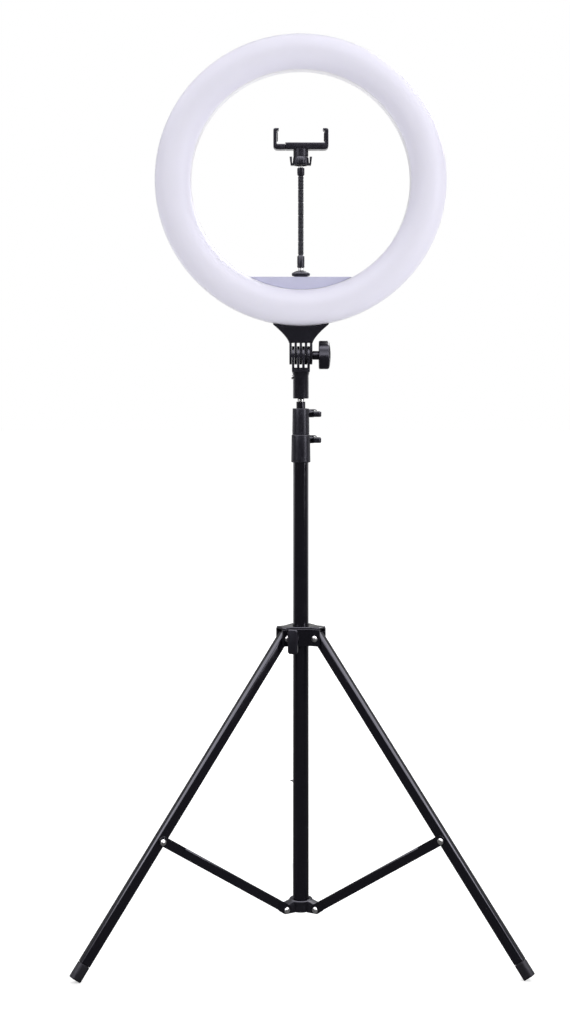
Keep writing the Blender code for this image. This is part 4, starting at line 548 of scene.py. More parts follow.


# The shelf's lavender finish carries painted shade: a darker copy of the white housing for the
# shade that the shelf sits in.
def shelf_painted_shade():
    c = sizes("finishes").shelf
    return finish("Lilac shelf with painted shade", c, 0.4, mottle=40, tint=0.015, grain=4200, spread=0.04)


def diffuser():
    """Milky moulding: a pale base with a little light let through under the surface."""
    c = sizes("finishes").diffuser
    look = {"mottle": 14, "tint": 0.01, "spread": 0.03, "grain": 5000, "relief": 0.02}
    made = finish("Milky diffuser", c, 0.42, **look, specular=0.38)
    shader = made.node_tree.nodes["Principled BSDF"]
    shader.inputs["Subsurface Weight"].default_value = 0.12
    shader.inputs["Subsurface Radius"].default_value = (0.8, 0.8, 1.0)
    shader.inputs["Subsurface Scale"].default_value = 0.006
    return made


def circuit(name, base):
    return finish(name, base, 0.45, mottle=300, tint=0.25, grain=2500, relief=0.1)


# ---------------------------------------------------------------- stand


def leg_frame(side):
    return arm(side, LEG_PIVOT_Z) @ Matrix.Rotation(-sizes("stand").leg_angle, 4, "Y")


def brace_frame(side):
    """The brace's hub pin, +X towards the pin on the leg."""
    pin = leg_frame(side) @ Vector((0, 0, -sizes("stand").brace_pin))
    origin = arm(side, BRACE_PIVOT_Z)
    local = origin.inverted() @ pin
    return origin @ Matrix.Rotation(-math.atan2(local.z, local.x), 4, "Y")


def leg_outline(s):
    return rounded(s.leg_depth, s.leg_width, s.leg_corner, 9) + (s.leg_offset, 0)


def leg_tube(s):
    """Tube down to the foot's cap, and the plug that closes it a little below its upper end."""
    outline, low, recess = leg_outline(s), s.foot_length + 0.3 * MM - s.leg_length, 1.2 * MM
    tube = prism([outline, inset(outline, s.leg_wall)], low, s.leg_top, 0.25 * MM)
    plug = prism([inset(outline, s.leg_wall + 0.02 * MM)], low, s.leg_top - recess)
    return tube, plug


def foot_cap(s, side):
    """Cap with a full round end, cut flat where it meets the floor."""
    cap = prism([leg_outline(s)], -s.leg_length, s.foot_length - s.leg_length, 1.2 * MM, 6)
    points, faces = moved(cap, leg_frame(side))
    points[:, 2] = np.maximum(points[:, 2], 0.0)
    return points, faces


def channel_section(s):
    """The brace's bent sheet in YZ: round outside the bends, tight inside, open below."""
    t, y, top, low = s.brace_sheet, s.flange, s.web, -s.brace_lip
    outer, inner = 2.0 * MM, 0.8 * MM
    return line(
        (y + t, low),
        arc(outer, 0, 90, 6, (y + t - outer, top + t - outer)),
        arc(outer, 90, 180, 6, (outer - y - t, top + t - outer)),
        [(-y - t, low), (-y, low)],
        arc(inner, 180, 90, 4, (inner - y, top - inner)),
        arc(inner, 90, 0, 4, (y - inner, top - inner)),
        (y, low),
    )


def brace_channel(s):
    """The channel's middle as a carried section, its ends as round-ended flanges."""
    t, low, high = s.brace_sheet, -s.brace_lip, s.web + s.brace_sheet
    start, end = s.web_start, s.brace_length - s.web_setback
    solids = [moved(prism([channel_section(s)], start, end, 0.15 * MM, 2), X_UP)]
    centre, radius = (low + high) / 2, (high - low) / 2
    near = arc(radius, 90, 270, 17, (radius - s.brace_end, centre))
    far = arc(radius, -90, 90, 17, (s.brace_length + s.brace_end - radius, centre))
    for outline in (
        line(near, [(start + MM, low), (start + MM, high)]),
        line(far, [(end - MM, high), (end - MM, low)]),
    ):
        flat = prism([outline], -t / 2, t / 2, 0.25 * MM, 2)
        solids += [moved(flat, place(y=y) @ Y_UP) for y in (-s.flange - t / 2, s.flange + t / 2)]
    return solids


def heads(face, radius, height):
    """A domed head on a washer on each side across Y, pointing away from the middle."""
    solids, thick = [], 0.7 * MM
    for out in (1, -1):
        turn = Matrix.Rotation(-out * math.pi / 2, 4, "X")
        washer = prism([ring(radius * 1.22, 40)], 0, thick, 0.2 * MM)
        solids.append(moved(washer, place(y=out * face) @ turn))
        solids.append(moved(dome(radius, height), place(y=out * (face + thick)) @ turn))
    return solids


class RINGLIGHT_OT_legs(bpy.types.Operator):
    """Make the three legs and their foot caps"""

    bl_idname = "ring_light.legs"
    bl_label = "Legs and Feet"

    def execute(self, context):
        s = sizes("stand")
        for side in SIDES:
            tube, plug = leg_tube(s)
            at, leg, cap = leg_frame(side), f"{side}_leg", foot_cap(s, side)
            piece(f"{side}_leg_tube", [tube], enamel(), leg, f"leg_{side}", at)
            piece(f"{side}_leg_plug", [plug], plastic(), leg, None, at)
            piece(f"{side}_foot_cap", [cap], rubber(), leg, f"foot_{side}")
        return {"FINISHED"}


class RINGLIGHT_OT_braces(bpy.types.Operator):
    """Make the three braces with the rivets that hold the legs"""

    bl_idname = "ring_light.braces"
    bl_label = "Braces"

    def execute(self, context):
        s = sizes("stand")
        face = s.flange + s.brace_sheet - 0.02 * MM
        tip = face + s.pin_rise + 2.4 * MM
        for side in SIDES:
            at, name = brace_frame(side), f"{side}_brace"
            end = at @ place(x=s.brace_length)
            channel = brace_channel(s)
            piece(f"{name}_channel", channel, enamel(), name, f"brace_{side}", at)
            rivet = heads(face, s.pin_head * 0.82, s.pin_rise * 0.65)
            rivet.append(rod(1.9 * MM, (0, face, 0), (0, tip, 0), 0.3 * MM, 24))
            piece(f"{name}_rivet", rivet, steel(), name, None, end)
        return {"FINISHED"}


class RINGLIGHT_OT_pins(bpy.types.Operator):
    """Make the pivot bolts of the legs and braces"""

    bl_idname = "ring_light.pins"
    bl_label = "Pivot Bolts"

    def execute(self, context):
        s, c = sizes("stand"), sizes("column")
        kinds = (
            ("leg", LEG_PIVOT_Z, c.ear_inner + c.ear_wall, "hub"),
            ("brace", BRACE_PIVOT_Z, s.flange + s.brace_sheet, "base"),
        )
        for side in SIDES:
            for kind, z, face, body in kinds:
                end, node = face + 0.3 * MM, f"{kind}_pin_{side}"
                bolt = heads(face + 0.2 * MM, s.pin_head * 0.84, s.pin_rise * 0.7)
                bolt.append(rod(2.3 * MM, (0, -end, 0), (0, end, 0), 0, 24))
                piece(f"{side}_{kind}_bolt", bolt, steel(), body, node, arm(side, z))
        return {"FINISHED"}


def turned_to(points, degrees):
    a = math.radians(degrees)
    c, s = math.cos(a), math.sin(a)
    return np.asarray(points) @ np.array([[c, s], [-s, c]])


def hub_outline(c, slots):
    """The sliding hub from above; with slots, each arm is two ears with the leg's gap between."""
    inner, outer, reach, small = c.ear_inner, c.ear_inner + c.ear_wall, c.ear_reach, 0.5 * MM
    root = (c.hub_panel - outer * math.sin(math.pi / 3)) / math.cos(math.pi / 3)
    r = min(c.ear_corner, c.ear_wall * 0.49) if slots else c.ear_corner
    x, y, count = reach - r, outer - r, 6 if slots else 8
    gap = (
        arc(small, 0, 90, 4, (reach - small, -inner - small)),
        [(c.hub_sleeve, -inner), (c.hub_sleeve, inner)],
        arc(small, -90, 0, 4, (reach - small, inner + small)),
    )
    low, high = arc(r, -90, 0, count, (x, -y)), arc(r, 0, 90, count, (x, y))
    points = line((root, -outer), low, *(gap if slots else ()), high, (root, outer))
    return np.vstack([turned_to(points, a) for a in sorted(SIDES.values())])


class RINGLIGHT_OT_hubs(bpy.types.Operator):
    """Make the hub that slides on the column, its clamp lever and the cup at the column's foot"""

    bl_idname = "ring_light.hubs"
    bl_label = "Hubs"

    def execute(self, context):
        c = sizes("column")
        self.sliding_hub(c)
        self.lever()
        self.cup(c, sizes("stand"))
        return {"FINISHED"}

    def sliding_hub(self, c):
        hole, roof = ring(c.base_radius + 0.4 * MM, 72), c.hub_above - c.hub_roof
        body = prism([hub_outline(c, True), hole], -c.hub_below, roof + 0.4 * MM, 0.5 * MM)
        top = prism([hub_outline(c, False), hole], roof, c.hub_above, 1.4 * MM, 5)
        out = spin(HUB_LEVER) @ Vector((1, 0, 0))
        boss = rod(5 * MM, out * 13 * MM, out * 23.4 * MM, 0.5 * MM)
        at = column(LEG_PIVOT_Z)
        piece("hub_casting", [body, top, boss], enamel(), "hub", "leg_hub", at)

    def lever(self):
        start = 23.7 * MM
        wing = prism([rounded(31 * MM, 12.6 * MM, 3.6 * MM)], -2.5 * MM, 2.5 * MM, 1.2 * MM, 4)
        solids = [
            moved(wing, place(start + 8.2 * MM, 0, -2 * MM) @ Z_TO_X),
            shaft(5.2 * MM, start, start + 7 * MM, 0.6 * MM),
            shaft(1.8 * MM, 10.8 * MM, start + MM, 0, 24),
        ]
        at = column(LEG_PIVOT_Z) @ spin(HUB_LEVER)
        piece("hub_wing", solids, plastic(), "hub_clamp", "hub_lever", at)

    def cup(self, c, s):
        bore, sole, e = c.base_radius + 0.3 * MM, 2.4 * MM, 1.5 * MM
        low, high, r, rim = -c.cup_below, c.cup_above, c.cup_radius, c.cup_rim
        profile = line(
            [(0, low), (r - e, low)],
            arc(e, -90, 0, 5, (r - e, low + e)),
            [(r, high - 7 * MM), (rim - 0.4 * MM, high - 3.2 * MM), (rim, high - 2.2 * MM)],
            [(rim, high - 0.8 * MM), (rim - 0.8 * MM, high), (rim - 1.8 * MM, high)],
            [(bore, high - 2.5 * MM), (bore, low + sole), (0, low + sole)],
        )
        width, root = s.flange - 0.4 * MM, bore + 1.6 * MM
        tip = arc(c.tongue, -90, 90, 15, (s.pivot_radius, 0))
        outline = line((root, -c.tongue), tip, (root, c.tongue + 4 * MM))
        tongue = moved(prism([outline], -width, width, 0.6 * MM), Y_UP)
        solids = [lathe(profile, 72)] + [moved(tongue, spin(a)) for a in SIDES.values()]
        at = column(BRACE_PIVOT_Z)
        piece("foot_cup", solids, plastic(), "base", "brace_hub", at)


# ---------------------------------------------------------------- column


def tube_profile(radius, wall, low, high):
    e = 0.25 * MM
    outside = [(radius - e, low), (radius, low + e), (radius, high - e), (radius - e, high)]
    return outside + [(radius - wall, high), (radius - wall, low)]


class RINGLIGHT_OT_tubes(bpy.types.Operator):
    """Make the column's three tubes and the spigot on top"""

    bl_idname = "ring_light.tubes"
    bl_label = "Column Tubes"

    def execute(self, context):
        c = sizes("column")
        for node, radius, wall, body in (
            ("base_tube", c.base_radius, c.base_wall, "base"),
            ("lower_riser", c.lower_radius, c.riser_wall, "lower_riser_body"),
            ("upper_riser", c.upper_radius, c.riser_wall, "upper_riser_body"),
        ):
            low, high = corners(node)
            foot, top, bush = low[2], high[2], (high[0] - low[0]) / 2
            solids = [lathe(tube_profile(radius, wall, foot, top), 72, loop=True)]
            if node != "base_tube":
                bushing = tube_profile(bush, bush - radius, foot, foot + c.bush_length)
                solids.append(lathe(bushing, 64, loop=True))
            if node == "upper_riser":
                r, hole, under = radius - 0.1 * MM, 2.7 * MM, top - 4 * MM
                cap = [(r, under), (r, top), (hole, top), (hole, under)]
                solids.append(lathe(cap, 64, loop=True))
            piece(f"{node}_skin", solids, enamel(), body, node, column())
        self.spigot()
        return {"FINISHED"}

    def spigot(self):
        """Stud with a grooved collar near its top, a waist and a wide foot over its screw."""
        top, tip, stem, base, e = 31 * MM, 2.4 * MM, 3.3 * MM, 4.2 * MM, 0.3 * MM
        profile = line(
            [(0, top), (tip - 2 * e, top), (tip, top - 2 * e), (tip, top - 6 * MM)],
            [(base - e, top - 6.3 * MM), (base, top - 6.6 * MM), (base, top - 8.8 * MM)],
            [(base - e, top - 9.1 * MM), (stem, top - 9.8 * MM), (stem, 8 * MM)],
            [(base - e, 7.2 * MM), (base, 6.8 * MM), (base, 2 * e), (base - e, e)],
            [(tip, e), (tip, -2.6 * MM), (0, -2.6 * MM)],
        )
        stud, at = lathe(profile, 48), column(float(corners("spigot")[1][2]) - top)
        piece("spigot_stud", [stud], steel(), "upper_riser_body", "spigot", at)


class RINGLIGHT_OT_collars(bpy.types.Operator):
    """Make the two clamp collars with their bolts and winged levers"""

    bl_idname = "ring_light.collars"
    bl_label = "Collars and Levers"

    def execute(self, context):
        c = sizes("column")
        self.collar(c, "lower", c.lower_collar, c.base_radius, c.lower_radius, "base")
        self.collar(c, "upper", c.upper_collar, c.lower_radius, c.upper_radius, "lower_riser_body")
        return {"FINISHED"}

    def collar(self, c, level, radius, tube, riser, body):
        """A closed sleeve on the tube, split above it, with two lugs and their bolt."""
        low, high = corners(f"{level}_collar")
        foot, height = float(low[2]), float(high[2] - low[2])
        seat, bore, step = tube + 0.3 * MM, riser + 0.3 * MM, c.collar_step
        z, tall = height - c.lug_drop, c.lug_height / 2
        split = z - tall - 1.5 * MM
        top, e = radius - 0.5 * MM, 0.8 * MM
        side = radius + (top - radius) * split / height
        lower = [(radius - 0.6 * MM, 0), (radius, 0.7 * MM), (side, split), (bore, split)]
        lower += [(bore, step), (seat, step)] if step < split else [(seat, split)]
        rim = arc(e, 0, 90, 5, (top - e, height - e))
        upper = line((side, split), rim, [(bore, height), (bore, max(step, split))])
        if step > split:
            upper = line(upper, [(seat, step), (seat, split)])
        half = c.lug_slit / 2
        wide, gap, quarter = half + c.lug_length, half / radius, math.pi / 2
        solids = [
            lathe(lower + [(seat, 0)], 80, loop=True),
            part_lathe(upper, quarter + gap, quarter + TAU - gap, 84),
        ]
        for x in (-wide, half):
            end = (x + c.lug_length, radius + c.lug_reach, z + tall)
            solids.append(slab((x, bore + 1.2 * MM, z - tall), end, 1.0 * MM, 1.6 * MM))
        end = (wide, radius + 3.2 * MM, split - 0.01 * MM)
        solids.append(slab((-wide, seat + 0.7 * MM, 1.2 * MM), end, 0.8 * MM, 1.4 * MM))
        node = f"{level}_collar"
        piece(f"{node}_body", solids, plastic(), body, node, column(foot))
        at = column(foot + z) @ place(y=radius + c.lug_reach / 2 + 0.4 * MM)
        end = -wide - 3.7 * MM
        nut = moved(prism([ring(4 * MM, 6)], 0, 3.4 * MM, 0.4 * MM), place(x=end) @ Z_TO_X)
        bolt = shaft(1.8 * MM, end - 0.5 * MM, wide + 5.3 * MM, 0.3 * MM, 28)
        piece(f"{node}_bolt", [nut, bolt], steel(), body, f"{level}_clamp_bolt", at)
        self.lever(level, at, wide + 0.3 * MM)

    def lever(self, level, at, start):
        wing = prism([rounded(12.4 * MM, 22 * MM, 4 * MM)], -4.5 * MM, 2.5 * MM, 1.4 * MM, 4)
        tab = line(arc(9 * MM, 62, 98, 12), arc(7.7 * MM, 98, 62, 12))
        tab = prism([tab], -4.5 * MM, 4.5 * MM, 0.5 * MM)
        solids = [
            moved(wing, place(x=20.2 * MM)),
            shaft(5.3 * MM, start, 17 * MM, 0.7 * MM),
            moved(tab, place(x=16.6 * MM, z=-3.8 * MM) @ Y_UP),
        ]
        body, node = f"{level}_lever", f"{level}_clamp_lever"
        piece(f"{body}_wing", solids, plastic(), body, node, at)


# ---------------------------------------------------------------- tilt head


def finger_edges(h, first, count):
    """Start and end along the hinge of every other layer in the stack of fingers."""
    layers, gap = 9, 0.3 * MM
    width = (h.finger_stack - (layers - 1) * gap) / layers
    starts = [(first + 2 * i) * (width + gap) - h.finger_stack / 2 for i in range(count)]
    return [(start, start + width) for start in starts]


def finger(h, start, end, root, width):
    """Half disc with straight sides down to its root, carried along the hinge."""
    outline = line(arc(h.finger_radius, 0, 180, 25), [(-width, -root), (width, -root)])
    return moved(prism([outline], start, end, 0.35 * MM, 2), X_UP)


def funnel_outline(h, r):
    """The bracket from the front: each edge is neck + (top - neck) t^flare, up to the ring."""
    t, foot = np.linspace(0, 1, 20), 16 * MM
    neck, top = h.finger_stack / 2 + 0.5 * MM, h.funnel_width / 2
    ring_up, rim = RING_Z - HINGE_Z, r.radius + 0.3 * MM
    wing = ring_up - math.sqrt(rim**2 - top**2) - 1.4 * MM
    side = np.column_stack([neck + (top - neck) * t**h.flare, foot + (wing - foot) * t])
    half = math.degrees(math.asin(top / rim))
    seat = arc(rim, -90 + half, -90 - half, 31, (0, ring_up))
    low = h.finger_root + 0.2 * MM
    return line((neck, low), side, seat, (side * (-1, 1))[::-1], (-neck, low))


class RINGLIGHT_OT_head(bpy.types.Operator):
    """Make the tilt head: socket, interleaved fingers, flared bracket, bolt and lobed knob"""

    bl_idname = "ring_light.head"
    bl_label = "Tilt Head"

    def execute(self, context):
        h, at = sizes("head"), column(HINGE_Z)
        self.socket(h, at)
        self.bracket(h, sizes("lamp"), at)
        self.knob(h, at)
        return {"FINISHED"}

    def socket(self, h, at):
        neck, bottom = -h.socket_drop, -h.socket_drop - h.socket_length
        edges = finger_edges(h, 1, 4)
        wide, deep, roof = -edges[0][0], h.finger_radius, neck + 6 * MM
        r, bore, e = h.socket_radius, 4.6 * MM, 0.8 * MM
        profile = line(
            [(bore, bottom), (r - e, bottom)],
            arc(e, -90, 0, 5, (r - e, bottom + e)),
            [(r, neck - 0.6 * MM), (r + 0.3 * MM, neck), (wide - 0.5 * MM, neck + 3 * MM)],
            [(wide, neck + 3.8 * MM), (wide, neck + 5 * MM), (wide - 0.6 * MM, roof)],
            [(0, roof), (0, neck - MM), (bore, neck - MM)],
        )
        low, high = neck + 4 * MM, -h.finger_root
        block = [(-deep, low), (deep, low), (deep, high), (-deep, high)]
        block = prism([block], -wide, wide, 0.4 * MM, 2)
        solids = [lathe(profile, 72), moved(block, X_UP)]
        solids += [finger(h, a, b, h.finger_root + MM, deep) for a, b in edges]
        piece("socket_casting", solids, plastic(), "head", "spigot_socket", at)
        screw = [
            shaft(1.6 * MM, -10.4 * MM, -4.8 * MM, 0, 20),
            shaft(2.6 * MM, -12 * MM, -10.3 * MM, 0.4 * MM, 28),
        ]
        lock = column(HINGE_Z + neck - 3 * MM)
        piece("socket_grub_screw", screw, steel(), "head", "socket_lock_screw", lock)

    def bracket(self, h, r, at):
        depth, e = h.funnel_depth / 2, 1.3 * MM
        solids = [moved(prism([funnel_outline(h, r)], -depth, depth, e, 4), Y_UP)]
        down = Matrix.Rotation(math.pi, 4, "Y")
        for a, b in finger_edges(h, 0, 5):
            solids.append(moved(finger(h, -b, -a, 17 * MM, depth - e), down))
        piece("bracket_casting", solids, plastic(), "ring", "ring_bracket", at)

    def knob(self, h, at):
        """Flat inner face and a low crown; lobes r - d (1 + cos n a) / 2 that fade inwards."""
        start = h.finger_stack / 2 + 0.3 * MM
        base = start + 8 * MM
        end, rim, dip = base + h.knob_length, h.knob_radius, 1.1 * MM
        profile = line(
            [(0, base), (rim - 1.4 * MM, base), (rim - 0.5 * MM, base + 0.35 * MM)],
            [(rim, base + 1.3 * MM), (rim, end - 4.2 * MM), (rim - 0.4 * MM, end - 3.0 * MM)],
            [(rim * 0.92, end - 1.9 * MM), (rim * 0.78, end - 1.2 * MM)],
            [(rim * 0.5, end - 0.5 * MM), (rim * 0.25, end - 0.1 * MM), (0, end)],
        )

        def lobed(r, z, a):
            fade = np.clip((r - 0.4 * rim) / (0.6 * rim), 0, 1)
            return r - dip * (1 + np.cos(h.knob_lobes * a)) / 2 * fade

        grip = moved(lathe(profile, 140, swell=lobed), Z_TO_X)
        sleeve = shaft(5.6 * MM, start, base + MM, 0.5 * MM)
        solids = [grip, sleeve]
        piece("tilt_knob_grip", solids, plastic(), "tilt_clamp", "tilt_knob", at)
        bolt = shaft(2.5 * MM, -h.finger_stack * 0.45, start + MM, 0.3 * MM, 32)
        piece("tilt_bolt_shaft", [bolt], steel(), "tilt_clamp", "tilt_bolt", at)


# ---------------------------------------------------------------- ring


def lamp_frame():
    """Centre of the ring's joint plane: +Z forwards, +Y up."""
    return place(float(COLUMN[0]), RING_Y, RING_Z) @ Y_UP


def shelf_outline(r, cut=0.0, notch=()):
    """Segment between the shelf's straight edge and the ring's hole, notched if asked."""
    rim, chord = r.radius - r.band - 0.4 * MM - cut, -r.shelf_drop - cut
    half = math.degrees(math.acos(-chord / rim))
    segment = arc(rim, -90 - half, -90 + half, 61)
    if not notch:
        return segment
    side, bottom = notch[0], -r.shelf_drop - notch[1]
    return line(segment, [(side, chord), (side, bottom), (-side, bottom), (-side, chord)])


def shelf_lip(r, lip, side):
    """The shelf's open back rim: the segment less the cover, cut through at the shoe."""
    top, inner = -r.shelf_drop, shelf_outline(r, lip)[::-1]
    right, left = [(side, top), (side, top - lip)], [(-side, top - lip), (-side, top)]
    return line(shelf_outline(r), right, inner, left)


class RINGLIGHT_OT_ring(bpy.types.Operator):
    """Make the ring's housing, shelf, diffuser, cover and controls"""

    bl_idname = "ring_light.ring"
    bl_label = "Ring"

    def execute(self, context):
        r, at = sizes("lamp"), lamp_frame()
        self.housing(r, at)
        self.shelf(r, at)
        self.diffuser(r, at)
        self.controls(r, at)
        self.inlet(r, at)
        return {"FINISHED"}

    def housing(self, r, at):
        """Channel open to the front: two walls and a back, round at its outer corners."""
        outer, inner, w, c, e = r.radius, r.radius - r.band, r.wall, 5 * MM, 0.5 * MM
        back, lip = -r.back, r.lip
        profile = line(
            arc(e, 90, 0, 4, (outer - e, lip - e)),
            arc(c, 0, -90, 9, (outer - c, back + c)),
            arc(c, -90, -180, 9, (inner + c, back + c)),
            arc(e, 180, 90, 4, (inner + e, lip - e)),
            [(inner + w, lip), (inner + w, back + c), (inner + c, back + w)],
            [(outer - c, back + w), (outer - w, back + c), (outer - w, lip)],
        )
        shell = lathe(profile, 256, loop=True)
        piece("ring_housing", [shell], housing(), "ring", "ring_back_shell", at)

    def shelf(self, r, at):
        """A front wall, a rim with a pocket for the shoe, and the cover let into its back."""
        low, high = corners("cold_shoe")
        side, depth = (high[0] - low[0]) / 2 + 0.3 * MM, high[2] - low[2] + 0.3 * MM
        front, back, sheet, lip, wall = r.shelf_front, -r.shelf_back, 1.6 * MM, 1.2 * MM, 2.4 * MM
        hollow = shelf_outline(r, wall, (side + wall, depth + wall))
        solids = [
            prism([shelf_outline(r)], front - wall, front, 0.5 * MM),
            prism([shelf_outline(r, 0, (side, depth)), hollow], back + sheet, front - MM),
            prism([shelf_lip(r, lip, side)], back, back + sheet + 0.01 * MM, 0.25 * MM, 2),
        ]
        # tint is the shelf's lavender with painted shade, used for the moulding and its cover.
        tint, plate = shelf_painted_shade(), shelf_outline(r, lip + 0.2 * MM, (side, depth))
        piece("shelf_moulding", solids, tint, "ring", "ring_shelf", at)
        cover = prism([plate], back, back + sheet - 0.1 * MM, 0.25 * MM, 2)
        piece("shelf_back_cover", [cover], tint, "ring", "shelf_cover", at)

    def diffuser(self, r, at):
        """Half ellipse over the housing's lips, hollow, on two flanges that reach behind them."""
        outer, inner = r.radius - r.wall - 0.3 * MM, r.radius - r.band + r.wall + 0.3 * MM
        mid, half = (outer + inner) / 2, r.band / 2 - 0.7 * MM
        seat, foot, w, rise, up = r.lip + 0.15 * MM, r.lip - 9 * MM, 2 * MM, r.dome - MM, 0.4 * MM
        a, b = np.linspace(math.pi, 0, 49), np.linspace(0, math.pi, 25)
        over = np.column_stack([mid + half * np.cos(a), seat + up + (rise - up) * np.sin(a)])
        inside = [mid + (outer - w - mid) * np.cos(b), seat + (rise - w) * np.sin(b)]
        profile = line(
            [(inner, seat), (mid - half, seat)],
            over,
            [(mid + half, seat), (outer, seat), (outer, foot), (outer - w, foot)],
            np.column_stack(inside),
            [(inner + w, foot), (inner, foot)],
        )
        shell, node = lathe(profile, 256, loop=True), "ring_diffuser"
        piece(f"{node}_dome", [shell], diffuser(), "ring", node, at)

    def controls(self, r, at):
        rim, end, ribs, spread = r.knob_radius, -r.knob_length, 18, 24 * MM
        profile = line(
            [(0, 0), (rim, 0), (rim, end + 0.8 * MM), (rim - 0.8 * MM, end), (rim * 0.6, end)],
            [(rim * 0.55, end + 0.3 * MM), (0, end + 0.3 * MM)],
        )
        grip = lathe(profile, 108, swell=ribbed(ribs, 0.6 * MM, 0.93 * rim))
        mark = slab((-0.5 * MM, rim * 0.25, end - 0.02 * MM), (0.5 * MM, rim * 0.9, end + 0.4 * MM))
        stem = rod(3 * MM, (0, 0, 1.6 * MM), (0, 0, -MM), 0, 28)
        for name, x in (("brightness", -spread), ("colour", spread)):
            turn = at @ place(x, r.band / 2 - r.radius, -r.back - 0.3 * MM)
            body, node = f"{name}_control", f"{name}_knob"
            piece(f"{name}_grip", [grip, stem], plastic(), body, node, turn)
            piece(f"{name}_pointer", [mark], housing(), body, None, turn)

    def inlet(self, r, at):
        """Round socket with a flange on the back, and the pin in its middle."""
        bore, body, flange, back = 3 * MM, 5.2 * MM, 6.8 * MM, -r.back
        face, deep = back - 1.6 * MM, back + 7 * MM
        profile = line(
            [(bore, deep), (bore, face), (flange - 0.6 * MM, face), (flange, face + 0.4 * MM)],
            [(flange, back - 0.3 * MM), (body, back - 0.3 * MM), (body, back + 9 * MM)],
            [(0, back + 9 * MM), (0, deep)],
        )
        pin = rod(0.9 * MM, (0, 0, deep + 0.2 * MM), (0, 0, back), 0.2 * MM, 20)
        turn, socket = at @ place(y=r.band / 2 - r.radius), lathe(profile, 48)
        piece("inlet_body", [socket], plastic(), "ring", "power_inlet", turn)
        piece("inlet_pin", [pin], steel(), "ring", None, turn)


# ---------------------------------------------------------------- neck and clamp


def tilt_of(radius, height):
    """Angle in degrees at which a circle's radius reaches a height."""
    return math.degrees(math.asin(height / radius))


def seat_arc(k, z):
    """A ball's crown at a height: k.seat_radius (cos a, sin a) from its rim up to the pole."""
    return arc(k.seat_radius, -tilt_of(k.seat_radius, k.link_gap), 90, 10, (0, z))


def hollow_arc(k):
    """The hollow under a link that turns on the ball below."""
    return arc(k.hollow_radius, 90, tilt_of(k.hollow_radius, k.link_gap), 8)


